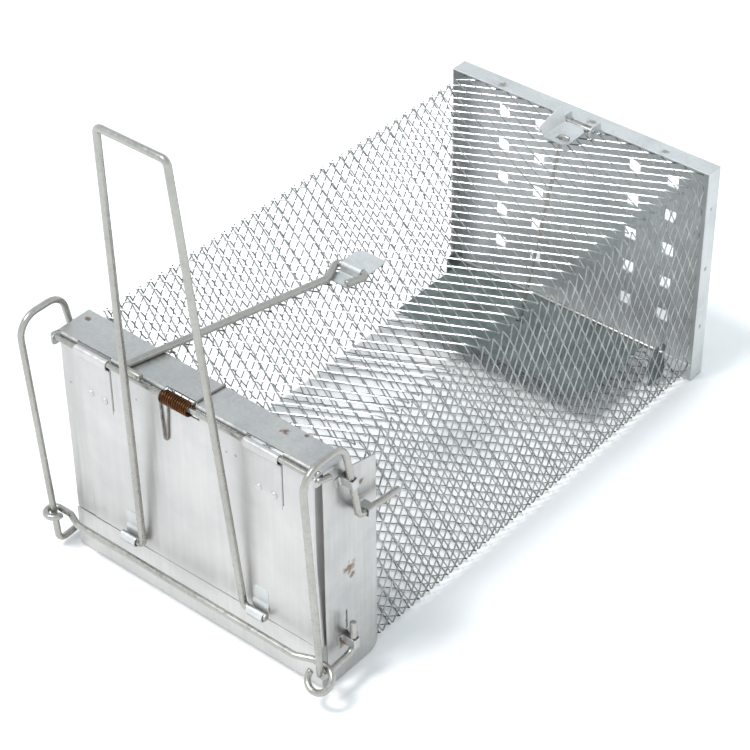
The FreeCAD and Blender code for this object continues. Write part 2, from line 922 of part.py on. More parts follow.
os.makedirs("parts", exist_ok=True)
for item in nodes:
    item.Shape.exportStep(os.path.join("parts", f"{item.Label}.step"))
    print(item.Label, len(item.Shape.Solids), round(item.Shape.Volume, 2))
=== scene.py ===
"""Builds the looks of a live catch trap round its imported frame.

Lengths are in millimetres until at() turns them into the frame's metres. In these
lengths x is to the right of someone who faces the rear pan, y counts from the
collar's front plane towards the pan, and z is up from the floor.
"""

import logging
import math
from dataclasses import dataclass
from enum import Enum
from typing import Iterable, Sequence

import bmesh
import bpy
from mathutils import Matrix, Vector, noise


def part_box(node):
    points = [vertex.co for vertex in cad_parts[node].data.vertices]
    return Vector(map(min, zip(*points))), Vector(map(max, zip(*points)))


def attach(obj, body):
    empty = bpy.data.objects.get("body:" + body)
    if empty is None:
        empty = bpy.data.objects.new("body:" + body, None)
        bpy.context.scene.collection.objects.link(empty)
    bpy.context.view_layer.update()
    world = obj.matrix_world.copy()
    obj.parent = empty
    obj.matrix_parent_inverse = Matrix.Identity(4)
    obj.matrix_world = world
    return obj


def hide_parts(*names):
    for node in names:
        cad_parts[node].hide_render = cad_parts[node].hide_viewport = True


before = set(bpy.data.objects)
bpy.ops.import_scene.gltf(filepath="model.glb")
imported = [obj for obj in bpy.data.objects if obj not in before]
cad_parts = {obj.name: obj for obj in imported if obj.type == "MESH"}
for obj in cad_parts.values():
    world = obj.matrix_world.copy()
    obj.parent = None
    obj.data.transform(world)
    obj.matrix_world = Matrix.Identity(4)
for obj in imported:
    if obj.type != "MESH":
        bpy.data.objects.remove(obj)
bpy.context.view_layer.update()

LOG = logging.getLogger("live_catch_trap")
MM = 0.001
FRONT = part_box("frame_top_plate")[0].y
RIGHT = Vector((1, 0, 0))
REAR = Vector((0, 1, 0))
UP = Vector((0, 0, 1))

Mesh = bmesh.types.BMesh
Tree = bpy.types.NodeTree
Socket = bpy.types.NodeSocket


class Body(Enum):
    """The moving bodies of the trap."""

    ROOT = "root"
    DOOR = "door"
    BAIL = "bail"
    ROD = "holding_rod"
    BAR = "lock_bar"
    TREADLE = "treadle"
    LINK = "link"
    CATCH = "catch"


class Slot(Enum):
    """The record's material slots."""

    COLLAR = "collar_sheet"
    DOOR = "door_sheet"
    MESH = "mesh_steel"
    PAN = "pan_sheet"
    WIRE = "wire_zinc"
    SPRING = "spring_steel"
    TRIP = "trip_sheet"


class Side(Enum):
    """The trap's left and right, as signs of x."""

    LEFT = -1
    RIGHT = 1


NOISE_SEED = 1  # without a seed the noise's offsets are drawn afresh in each run


def at(x: float, y: float, z: float) -> Vector:
    """Turns a place in the trap's millimetres into the frame's metres.

    Args:
        x: to the right.
        y: from the collar's front plane towards the rear pan.
        z: up from the underside of the floor.

    Returns:
        The point in the row frame.
    """
    return Vector((x * MM, FRONT + y * MM, z * MM))


# ---- finishes ---------------------------------------------------------------


def colour(code: str) -> tuple[float, float, float, float]:
    """Turns an sRGB hex colour into the linear colour of a socket.

    Args:
        code: six hex digits, as in "c8c9ca".

    Returns:
        Linear red, green, blue and an alpha of one.
    """
    parts = [int(code[i : i + 2], 16) / 255 for i in (0, 2, 4)]
    linear = [p / 12.92 if p <= 0.04045 else ((p + 0.055) / 1.055) ** 2.4 for p in parts]
    return (*linear, 1.0)


def add_node(tree: Tree, kind: str, settings: dict | None = None, **inputs) -> bpy.types.Node:
    """Adds a node with its settings and its inputs.

    Args:
        tree: the node tree.
        kind: the node's type name.
        settings: properties of the node.
        inputs: values or sockets by input name, with _ for a space; i0, i1 give an input by number.

    Returns:
        The new node.
    """
    node = tree.nodes.new(kind)
    for key, value in (settings or {}).items():
        setattr(node, key, value)
    for key, value in inputs.items():
        numbered = key[0] == "i" and key[1:].isdigit()
        socket = node.inputs[int(key[1:]) if numbered else key.replace("_", " ")]
        if isinstance(value, Socket):
            tree.links.new(value, socket)
        else:
            socket.default_value = value
    return node


@dataclass(frozen=True)
class Mark:
    """A weld burn or a rust spot on a surface.

    Fields: its centre in the trap's millimetres and its radius.
    """

    x: float
    y: float
    z: float
    radius: float


@dataclass(frozen=True)
class Finish:
    """Zinc-coated steel with a fine pattern of its own.

    The spangle is the frost-like crystal patches of a zinc coat, the grain runs along the
    rolling or drawing direction, and the dents are the gentle waves of thin sheet.

    Attributes:
        name: the material's name.
        light: the lighter of its two tones.
        dark: the darker of its two tones.
        metallic: how metallic it is.
        roughness: its mean roughness.
        spangle: a crystal patch's size in millimetres.
        spangle_share: how much the patches show against the grain.
        grain: the grain's size along x, y and z in millimetres.
        cloud: the size of its broad, soft patches in millimetres.
        dent: the height of its waves in millimetres.
        grit: the size of its finest roughness in millimetres.
        stain: the colour of its marks.
        marks: its weld burns and rust spots.
    """

    name: str
    light: str
    dark: str
    metallic: float
    roughness: float
    spangle: float = 5.0
    spangle_share: float = 0.35
    grain: tuple[float, float, float] = (1.5, 1.5, 40.0)
    cloud: float = 30.0
    dent: float = 0.25
    grit: float = 0.5
    stain: str = "6f5138"
    marks: tuple[Mark, ...] = ()

    def material(self) -> bpy.types.Material:
        """Makes the finish's material, or returns the one made before."""
        made = bpy.data.materials.get(self.name)
        return made or self._new_material()

    def _new_material(self) -> bpy.types.Material:
        """Builds the node tree of the finish.

        Returns:
            The new material.
        """
        made = bpy.data.materials.new(self.name)
        made.use_nodes = True
        tree = made.node_tree
        tree.nodes.clear()
        place = add_node(tree, "ShaderNodeTexCoord").outputs["Object"]
        spangle = self._pattern(tree, "ShaderNodeTexVoronoi", place, (self.spangle,) * 3)
        grey = add_node(tree, "ShaderNodeSeparateColor", i0=spangle.outputs["Color"]).outputs["Red"]
        grain = self._pattern(tree, "ShaderNodeTexNoise", place, self.grain, Detail=3.0).outputs["Fac"]
        cloud = self._pattern(tree, "ShaderNodeTexNoise", place, (self.cloud,) * 3, Detail=2.0)
        mixed = add_node(tree, "ShaderNodeMix", i0=self.spangle_share, i2=grain, i3=grey)
        both = add_node(
            tree,
            "ShaderNodeMath",
            {"operation": "ADD"},
            i0=mixed.outputs["Result"],
            i1=cloud.outputs["Fac"],
        ).outputs["Value"]
        tone = add_node(
            tree, "ShaderNodeMapRange", Value=both, From_Min=0.65, From_Max=1.35, To_Min=0.0, To_Max=1.0
        ).outputs["Result"]
        base = add_node(
            tree,
            "ShaderNodeMix",
            {"data_type": "RGBA"},
            i0=tone,
            i6=colour(self.dark),
            i7=colour(self.light),
        ).outputs[2]
        rough = add_node(
            tree,
            "ShaderNodeMapRange",
            Value=grain,
            From_Min=0.3,
            From_Max=0.7,
            To_Min=self.roughness - 0.08,
            To_Max=self.roughness + 0.1,
        ).outputs["Result"]
        for mark in self.marks:
            base = self._blend(tree, base, self._mark(tree, place, mark))
        wave = self._pattern(tree, "ShaderNodeTexNoise", place, (22.0,) * 3, Detail=1.0).outputs["Fac"]
        dents = add_node(
            tree, "ShaderNodeBump", Strength=1.0, Distance=self.dent * MM, Height=wave
        ).outputs["Normal"]
        fine = self._pattern(tree, "ShaderNodeTexNoise", place, (self.grit,) * 3, Detail=2.0)
        surface = add_node(
            tree,
            "ShaderNodeBump",
            Strength=0.35,
            Distance=0.03 * MM,
            Height=fine.outputs["Fac"],
            Normal=dents,
        ).outputs["Normal"]
        shader = add_node(
            tree,
            "ShaderNodeBsdfPrincipled",
            Base_Color=base,
            Metallic=self.metallic,
            Roughness=rough,
            Normal=surface,
        )
        add_node(tree, "ShaderNodeOutputMaterial", Surface=shader.outputs["BSDF"])
        return made

    def _pattern(
        self,
        tree: Tree,
        kind: str,
        place: Socket,
        size: Sequence[float],
        **inputs: float,
    ) -> bpy.types.Node:
        """Adds a texture whose features have a real size.

        Args:
            tree: the node tree.
            kind: the texture node's type name.
            place: the coordinates.
            size: feature size along x, y and z in millimetres.
            inputs: further inputs of the texture.

        Returns:
            The texture node.
        """
        scale = Vector([1 / (s * MM) for s in size])
        scaled = add_node(tree, "ShaderNodeMapping", Vector=place, Scale=scale).outputs["Vector"]
        return add_node(tree, kind, Vector=scaled, Scale=1.0, **inputs)

    def _blend(
        self, tree: Tree, base: Socket, share: Socket
    ) -> Socket:
        """Lays the stain colour over the base by a share."""
        return add_node(
            tree, "ShaderNodeMix", {"data_type": "RGBA"}, i0=share, i6=base, i7=colour(self.stain)
        ).outputs[2]

    def _mark(
        self, tree: Tree, place: Socket, mark: Mark
    ) -> Socket:
        """Makes a ragged spot round a point.

        Args:
            tree: the node tree.
            place: the coordinates.
            mark: where the spot is and how large.

        Returns:
            The spot's share, from 0 to 1.
        """
        centre = at(mark.x, mark.y, mark.z)
        far = add_node(
            tree, "ShaderNodeVectorMath", {"operation": "DISTANCE"}, i0=place, i1=centre
        ).outputs["Value"]
        ragged = self._pattern(tree, "ShaderNodeTexNoise", place, (2.2,) * 3, Detail=5.0).outputs["Fac"]
        edge = add_node(
            tree,
            "ShaderNodeMath",
            {"operation": "MULTIPLY_ADD"},
            i0=ragged,
            i1=-2.4 * mark.radius * MM,
            i2=far,
        ).outputs["Value"]
        return add_node(
            tree,
            "ShaderNodeMapRange",
            Value=edge,
            From_Min=-0.75 * mark.radius * MM,
            From_Max=-0.15 * mark.radius * MM,
            To_Min=0.8,
            To_Max=0.0,
        ).outputs["Result"]


# Hot-dip galvanised sheet, rolled and folded: pale grey with soft spangle and a dull sheen.
COLLAR_SHEET = Finish(
    "galvanised_collar_sheet",
    light="c7c6c3",
    dark="aeafaf",
    spangle_share=0.15,
    metallic=0.9,
    roughness=0.38,
    cloud=18.0,
    marks=(
        Mark(70.8, 14.6, 56.1, 3.6),
        Mark(70.8, 16.0, 51.5, 2.0),
        Mark(70.8, 9.0, 19.0, 3.2),
        Mark(70.8, 17.0, 16.5, 2.2),
        Mark(70.8, 14.0, 104.5, 2.0),
        Mark(70.8, 22.0, 96.0, 1.4),
        Mark(44.0, 9.0, 115.4, 2.2),
        Mark(52.0, 12.0, 115.4, 1.4),
        Mark(-66.0, 12.0, 115.4, 1.6),
    ),
)
# The same coat on the door, whiter and streaked up and down by the rolling direction.
DOOR_SHEET = Finish(
    "galvanised_door_sheet",
    light="d3d1cf",
    dark="bebdbc",
    spangle_share=0.1,
    metallic=0.85,
    roughness=0.42,
    grain=(2.0, 2.0, 60.0),
    cloud=25.0,
    dent=0.35,
    stain="8d8c88",
    marks=(
        Mark(-64.6, -2.4, 91.8, 0.9),
        Mark(-30.3, -2.4, 101.3, 0.7),
        Mark(-26.3, -2.4, 102.1, 0.7),
        Mark(22.6, -2.4, 100.7, 0.7),
        Mark(27.4, -2.4, 101.5, 0.7),
    ),
)
# Galvanised sheet of the rear pan, darker and cooler, with weld burns on its flange.
PAN_SHEET = Finish(
    "galvanised_pan_sheet",
    light="d2d4d4",
    dark="b9bcbd",
    spangle_share=0.2,
    metallic=0.62,
    roughness=0.42,
    spangle=7.0,
    cloud=25.0,
    stain="85806f",
    marks=(
        Mark(-44.5, 263.0, 116.0, 2.4),
        Mark(6.0, 263.0, 116.0, 2.6),
        Mark(46.0, 263.0, 116.0, 2.4),
        Mark(72.2, 264.0, 96.0, 1.2),
        Mark(72.2, 264.0, 63.0, 1.2),
        Mark(72.2, 264.0, 30.0, 1.2),
    ),
)
# Thin trip sheet inside the cage: grey-green zinc that has gone dull.
TRIP_SHEET = Finish(
    "dull_zinc_trip_sheet",
    light="8a9492",
    dark="69736f",
    metallic=0.7,
    roughness=0.5,
    spangle=4.0,
    cloud=12.0,
)
# Expanded steel, galvanised after it was slit and drawn open: mid grey, crisp strands.
EXPANDED_STEEL = Finish(
    "galvanised_expanded_steel",
    light="adaead",
    dark="7b7d7d",
    metallic=0.9,
    roughness=0.32,
    spangle=3.0,
    grain=(2.0, 2.0, 2.0),
    cloud=9.0,
    dent=0.05,
)
# Drawn wire with an electro-zinc coat: satin and nearly neutral, with a faint drawing grain.
ZINC_WIRE = Finish(
    "zinc_coated_drawn_wire",
    light="b4b3ae",
    dark="a09e98",
    metallic=0.92,
    roughness=0.3,
    spangle=2.0,
    spangle_share=0.08,
    grain=(2.5, 2.5, 2.5),
    cloud=26.0,
    dent=0.05,
)
# Hard-drawn spring wire with a copper-brown drawing coat.
SPRING_WIRE = Finish(
    "copper_washed_spring_wire",
    light="6f4526",
    dark="35230f",
    metallic=0.95,
    roughness=0.3,
    spangle=1.2,
    grain=(0.8, 0.8, 0.8),
    cloud=4.0,
    dent=0.02,
)
# The spring's ends, where the copper wash has rubbed off to grey steel.
SPRING_END = Finish(
    "bare_spring_wire",
    light="94908a",
    dark="6e6a64",
    metallic=0.95,
    roughness=0.32,
    spangle=1.2,
    grain=(0.8, 0.8, 0.8),
    cloud=4.0,
    dent=0.02,
)


# ---- shaping ----------------------------------------------------------------


def soften(mesh: Mesh, geom: list, width: float, segments: int, affect: str = "VERTICES") -> None:
    """Rounds or clips corners or edges.

    Args:
        mesh: the mesh.
        geom: the vertices or the edges.
        width: the bevel's width in millimetres.
        segments: one for a clipped corner, more for a round one.
        affect: VERTICES or EDGES.
    """
    bmesh.ops.bevel(
        mesh, geom=geom, offset=width * MM, segments=segments, profile=0.5, affect=affect, material=-1
    )


def extrude_row(mesh: Mesh, edges: list) -> tuple[list, list, list]:
    """Extrudes a row of edges in place.

    Args:
        mesh: the mesh.
        edges: the row.

    Returns:
        All that was made, its new vertices, and the new row.
    """
    made = bmesh.ops.extrude_edge_only(mesh, edges=edges)["geom"]
    verts = [g for g in made if isinstance(g, bmesh.types.BMVert)]
    known = set(verts)
    row = [g for g in made if isinstance(g, bmesh.types.BMEdge) and known.issuperset(g.verts)]
    return made, verts, row


def wire_end(mesh: Mesh, spot: Vector, heading: Vector, radius: float, sides: int) -> tuple[list, list]:
    """Sets a round section across a direction.

    Args:
        mesh: the mesh that gets it.
        spot: its centre.
        heading: the direction that the wire sets out in.
        radius: its radius in millimetres.
        sides: how many facets it has.

    Returns:
        Its vertices and its edges.
    """
    stand = Matrix.Translation(spot) @ heading.to_track_quat("Z", "Y").to_matrix().to_4x4()
    ring = bmesh.ops.create_circle(mesh, segments=sides, radius=radius * MM, matrix=stand)["verts"]
    return list(ring), list(dict.fromkeys(e for v in ring for e in v.link_edges))


class Bench:
    """A bending bench: it draws a row of edges out straight and round bends."""

    def __init__(self, mesh: Mesh, edges: list, spot: Vector, heading: Vector) -> None:
        """Clamps the work.

        Args:
            mesh: the mesh that is shaped.
            edges: the row of edges that leads.
            spot: the point of the work that follows the route.
            heading: the direction of travel.
        """
        self.mesh = mesh
        self.edges = edges
        self.spot = spot.copy()
        self.heading = heading.normalized()

    def pull(self, length: float) -> None:
        """Draws the work out straight by a length in metres."""
        _, moved, self.edges = extrude_row(self.mesh, self.edges)
        bmesh.ops.translate(self.mesh, vec=self.heading * length, verts=moved)
        self.spot += self.heading * length

    def bend(self, axis: Vector, angle: float, radius: float, steps: int) -> None:
        """Turns the work round an axis.

        Args:
            axis: the axis of the bend.
            angle: the turn in radians.
            radius: from the axis to the leading spot, in metres.
            steps: how many facets the bend has.
        """
        centre = self.spot + axis.cross(self.heading) * radius
        step = Matrix.Rotation(angle / steps, 3, axis)
        for _ in range(steps):
            _, moved, self.edges = extrude_row(self.mesh, self.edges)
            bmesh.ops.rotate(self.mesh, cent=centre, matrix=step, verts=moved)
        whole = Matrix.Rotation(angle, 3, axis)
        self.spot = centre + whole @ (self.spot - centre)
        self.heading = whole @ self.heading

    def follow(
        self, route: Sequence[Vector], radius: float, steps: int = 6, wider: dict | None = None
    ) -> None:
        """Follows a route of straight runs with a rounded corner at each point.

        Args:
            route: the points, the first where the work is.
            radius: the bend radius in metres.
            steps: how many facets a right angle has.
            wider: other bend radii in metres, by the number of their point.
        """
        for index in range(1, len(route)):
            corner = route[index]
            ahead = (corner - self.spot).normalized()
            if index == len(route) - 1:
                self.pull((corner - self.spot).length)
                continue
            leaving = (route[index + 1] - corner).normalized()
            turn = ahead.angle(leaving)
            if turn < 0.01:
                self.pull((corner - self.spot).length)
                continue
            bend = (wider or {}).get(index, radius)
            reach = bend * math.tan(turn / 2)
            self.pull((corner - self.spot).length - reach)
            facets = max(2, round(steps * turn / (math.pi / 2)))
            self.bend(ahead.cross(leaving).normalized(), turn, bend, facets)


def row_of_edges(mesh: Mesh, points: Sequence[Vector]) -> list:
    """Lays a chain of edges through points.

    Args:
        mesh: the mesh that gets the chain.
        points: the chain's points.

    Returns:
        The edges in order.
    """
    verts = [mesh.verts.new(p) for p in points]
    return [mesh.edges.new(pair) for pair in zip(verts, verts[1:])]


def fold(
    mesh: Mesh, row: Sequence[Vector], route: Sequence[Vector], radius: float, steps: int = 6
) -> Bench:
    """Lays a sheet's leading edge and folds the sheet along a route.

    Args:
        mesh: the mesh that gets the sheet.
        row: the points of the leading edge.
        route: the route, from a point in line with the edge.
        radius: the bend radius in millimetres.
        steps: how many facets a right angle has.

    Returns:
        The bench, with the sheet still on it.
    """
    bench = Bench(mesh, row_of_edges(mesh, row), route[0], route[1] - route[0])
    bench.follow(route, radius * MM, steps)
    return bench


def wire_mesh(
    route: Sequence[Vector],
    radius: float,
    bend: float,
    sides: int = 14,
    steps: int = 7,
    wider: dict | None = None,
) -> Mesh:
    """Bends a round wire with softened ends.

    Args:
        route: the corners of its centre line, in metres.
        radius: the wire's radius in millimetres.
        bend: the bend radius of the centre line in millimetres.
        sides: how many facets go round the wire.
        steps: how many facets a right-angled bend has.
        wider: other bend radii in metres, by the number of their corner.

    Returns:
        The closed mesh.
    """
    mesh = bmesh.new()
    heading = (route[1] - route[0]).normalized()
    _, start = wire_end(mesh, route[0], heading, radius, sides)
    bench = Bench(mesh, start, route[0], heading)
    bench.follow(route, bend * MM, steps, wider)
    close_ends(mesh, [start, bench.edges], radius)
    return mesh


def close_ends(mesh: Mesh, rings: Iterable[list], radius: float) -> None:
    """Caps a wire's ends and rounds their rims.

    Args:
        mesh: the wire's mesh.
        rings: the edges of each open end.
        radius: the wire's radius in millimetres.
    """
    rims = []
    for ring in rings:
        bmesh.ops.contextual_create(mesh, geom=ring)
        rims += ring
    soften(mesh, rims, 0.35 * radius, 3, "EDGES")


def cut_window(mesh: Mesh, low: Vector, high: Vector) -> None:
    """Cuts a box-shaped window out of a sheet.

    Args:
        mesh: the sheet.
        low: the box's lowest corner.
        high: the box's highest corner.
    """
    for axis in range(3):
        normal = Vector([float(axis == i) for i in range(3)])
        for stop in (low[axis], high[axis]):
            bmesh.ops.bisect_plane(
                mesh,
                geom=mesh.verts[:] + mesh.edges[:] + mesh.faces[:],
                plane_co=normal * stop,
                plane_no=normal,
                dist=1e-7,
            )
    drop_faces(mesh, low, high)


def drop_faces(mesh: Mesh, low: Vector, high: Vector) -> None:
    """Deletes the faces whose centres lie in a box.

    Args:
        mesh: the sheet.
        low: the box's lowest corner.
        high: the box's highest corner.
    """
    inside = [
        f for f in mesh.faces if all(low[i] <= f.calc_center_median()[i] <= high[i] for i in range(3))
    ]
    bmesh.ops.delete(mesh, geom=inside, context="FACES")


def ripple(mesh: Mesh, along: Vector, height: float, size: float, seed: float) -> None:
    """Gives a sheet the slight waves of hand-folded work.

    Args:
        mesh: the sheet.
        along: the direction that points move in.
        height: the wave's height in millimetres.
        size: the wave's length in millimetres.
        seed: shifts the pattern.
    """
    shift = Vector((seed, 2 * seed, 3 * seed))
    for vert in mesh.verts:
        vert.co += along * noise.noise(vert.co / (size * MM) + shift) * height * MM


@dataclass(frozen=True)
class Piece:
    """A visible piece: its name, its body, its slot, its finish and the nodes it stands for.

    A piece with no nodes given stands for the node of its own name.
    """

    name: str
    body: Body
    slot: Slot
    finish: Finish
    nodes: tuple[str, ...] | None = None

    def make(
        self,
        mesh: Mesh,
        outward: Vector | None = None,
        gauge: float = 0.0,
        edge: float = 0.14,
        crisp: float = 50.0,
    ) -> bpy.types.Object:
        """Turns a finished mesh into the piece.

        Args:
            mesh: the mesh, which is used up.
            outward: for an open sheet, the way that its outer skin faces on the whole.
            gauge: the wall that the sheet gets on its inner side, in millimetres.
            edge: the rounding of a sheet's cut edges in millimetres.
            crisp: the angle in degrees past which an edge of a solid stays sharp.

        Returns:
            The object, which rides on its body.
        """
        bmesh.ops.recalc_face_normals(mesh, faces=mesh.faces[:])
        if outward is not None:
            facing = sum((f.normal * f.calc_area() for f in mesh.faces), Vector())
            if facing.dot(outward) < 0:
                bmesh.ops.reverse_faces(mesh, faces=mesh.faces[:])
        data = bpy.data.meshes.new(self.name)
        mesh.to_mesh(data)
        mesh.free()
        data.shade_smooth()
        piece = bpy.data.objects.new(self.name, data)
        bpy.context.scene.collection.objects.link(piece)
        if gauge:
            wall = piece.modifiers.new("wall", "SOLIDIFY")
            wall.thickness = gauge * MM
            wall.offset = -1.0
            rim = piece.modifiers.new("rim", "BEVEL")
            rim.width = edge * MM
            rim.segments = 2
            rim.limit_method = "ANGLE"
            rim.angle_limit = math.radians(50)
            piece.modifiers.new("light", "WEIGHTED_NORMAL").keep_sharp = True
        else:
            data.set_sharp_from_angle(angle=math.radians(crisp))
        data.materials.append(self.finish.material())
        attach(piece, self.body.value)
        nodes = (self.name,) if self.nodes is None else self.nodes
        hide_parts(*nodes)
        LOG.info("%s: %d faces", self.name, len(data.polygons))
        return piece


def wire_piece(
    name: str, body: Body, route: Sequence[Vector], radius: float, bend: float, **more
) -> bpy.types.Object:
    """Makes a zinc wire that stands for the node of its own name.

    Args:
        name: the piece's and the node's name.
        body: the body it rides on.
        route: its corners in metres.
        radius: the wire's radius in millimetres.
        bend: the bend radius in millimetres.
        more: facet counts and other bend radii for wire_mesh.

    Returns:
        The piece.
    """
    return Piece(name, body, Slot.WIRE, ZINC_WIRE).make(wire_mesh(route, radius, bend, **more))


# ---- the expanded metal cage ------------------------------------------------


@dataclass
class ExpandedCage:
    """The mesh tunnel: zigzag strands that meet their neighbours at short bonds.

    Attributes:
        half_width: from the centre to the sides' mid surface.
        low: the floor's mid surface.
        high: the roof's mid surface.
        corner: the bend radius at the four corners.
        across: strand periods across the roof or the floor.
        upright: strand periods up a side.
        pitch: from strand to strand along the cage, half the short way of a diamond.
        bond: the length of a bond.
        strand: the strand's width in its tilted face.
        gauge: the sheet's thickness.
        tilt: the tilt of a strand's face in degrees.
        roof_start: where the roof's mesh starts along the cage.
        side_start: where the sides' mesh starts.
        end: where all the mesh ends.
    """

    half_width: float = 69.15
    low: float = 0.75
    high: float = 113.8
    corner: float = 4.5
    across: int = 11
    upright: int = 9
    pitch: float = 3.25
    bond: float = 1.3
    strand: float = 0.54
    gauge: float = 0.48
    tilt: float = 36.0
    roof_start: float = 11.0
    side_start: float = 26.0
    end: float = 265.0

    def build(self) -> None:
        """Builds the four panels."""
        for name, turn, periods, start in (
            ("mesh_top", 0, self.across, self.roof_start),
            ("mesh_right", 1, self.upright, self.side_start),
            ("mesh_floor", 2, self.across, self.side_start + 5),
            ("mesh_left", 3, self.upright, self.side_start),
        ):
            mesh = self._panel(turn, periods, start)
            Piece(name, Body.ROOT, Slot.MESH, EXPANDED_STEEL).make(mesh, crisp=40)

    def _panel(self, turn: int, periods: int, start: float) -> Mesh:
        """Builds one panel, from corner middle to corner middle.

        Args:
            turn: quarter turns from the roof, clockwise from the front.
            periods: strand periods across the panel.
            start: where the panel starts along the cage.

        Returns:
            The panel's mesh.
        """
        mesh = bmesh.new()
        rows = int((self.end - start) / self.pitch)
        for phase in (0, 1):
            strand = self._strand(mesh, periods, phase)
            first = start + phase * self.pitch
            bmesh.ops.translate(mesh, vec=(0, first, 0), verts=strand[0])
            for row in range(phase + 2, rows, 2):
                copied = bmesh.ops.duplicate(mesh, geom=strand[0] + strand[1] + strand[2])["geom"]
                verts = [g for g in copied if isinstance(g, bmesh.types.BMVert)]
                bmesh.ops.translate(mesh, vec=(0, (row - phase) * self.pitch, 0), verts=verts)
        shift = Vector((turn * 7.0, 0.0, 0.0))
        for vert in mesh.verts:
            wave = noise.noise_vector(Vector((vert.co.x, vert.co.y, 0)) / 38 + shift)
            fine = noise.noise_vector(Vector((vert.co.x, vert.co.y, 0)) / 7 + shift)
            edge = min(1.0, min(vert.co.x, periods - vert.co.x) * 1.5) if periods else 1.0
            y = vert.co.y + (wave.y * 1.1 + fine.y * 0.22) * edge
            out = vert.co.z + (wave.z * 0.35 + fine.z * 0.1) * edge
            vert.co = self._wrap(turn, periods, vert.co.x + wave.x * 0.04 * edge, out)
            vert.co.y = at(0, y, 0).y
        return mesh

    def _strand(self, mesh: Mesh, periods: int, phase: int) -> tuple[list, list, list]:
        """Draws one zigzag strand along x, in periods, with y and z in millimetres.

        Args:
            mesh: the mesh that gets the strand.
            periods: how many periods it has.
            phase: 0 or 1, which of two neighbours it is.

        Returns:
            The strand's vertices, edges and faces.
        """
        lean = math.radians(self.tilt)
        wide = Vector((0, math.cos(lean), math.sin(lean))) * self.strand / 2
        thick = Vector((0, -math.sin(lean), math.cos(lean))) * self.gauge / 2
        swing = self.pitch / 2 - abs(wide.y) * 0.9
        flat = self.bond / 2 / self._period(periods)
        stops = []
        for half in range(2 * periods + 1):
            crest = 1 if (half + phase) % 2 else -1
            for step in (-flat, flat):
                x = min(max(half / 2 + step, 0.0), float(periods))
                stops.append(Vector((x, crest * swing, -crest * abs(wide.z) * 0.9)))
        corners = [stops[0] + a * wide + b * thick for a, b in ((-1, -1), (1, -1), (1, 1), (-1, 1))]
        verts = [mesh.verts.new(c) for c in corners]
        ring = [mesh.edges.new((verts[i], verts[(i + 1) % 4])) for i in range(4)]
        parts = ([*verts], [*ring], [])
        for before, stop in zip(stops, stops[1:]):
            if (stop - before).length < 1e-6:
                continue
            made, fresh, ring = extrude_row(mesh, ring)
            bmesh.ops.translate(mesh, vec=stop - before, verts=fresh)
            for kind, store in zip((bmesh.types.BMVert, bmesh.types.BMEdge, bmesh.types.BMFace), parts):
                store.extend(g for g in made if isinstance(g, kind))
        return parts

    def _period(self, periods: int) -> float:
        """Gives the real length of one period on a panel."""
        side = 2 * self.half_width if periods == self.across else self.high - self.low
        return (side - 2 * self.corner + self.corner * math.pi / 2) / periods

    def _wrap(self, turn: int, periods: int, along: float, out: float) -> Vector:
        """Lays a point of the flat panel on the rounded box.

        Args:
            turn: quarter turns from the roof.
            periods: strand periods across the panel.
            along: the place across the panel in periods.
            out: the height over the mid surface.

        Returns:
            The point in metres, with no y yet.
        """
        level = periods == self.across
        half = self.half_width if level else (self.high - self.low) / 2
        other = (self.high - self.low) / 2 if level else self.half_width
        arc = self.corner * math.pi / 4
        run = along * self._period(periods) - (arc + half - self.corner)
        flat = half - self.corner
        over = max(0.0, abs(run) - flat)
        angle = over / self.corner
        reach = self.corner + out
        u = math.copysign(min(abs(run), flat) + reach * math.sin(angle), run)
        w = other - self.corner + reach * math.cos(angle)
        middle = (self.high + self.low) / 2
        x, z = ((u, w), (w, -u), (-u, -w), (-w, u))[turn]
        return Vector((x * MM, 0, (z + middle) * MM))


# ---- the collar -------------------------------------------------------------


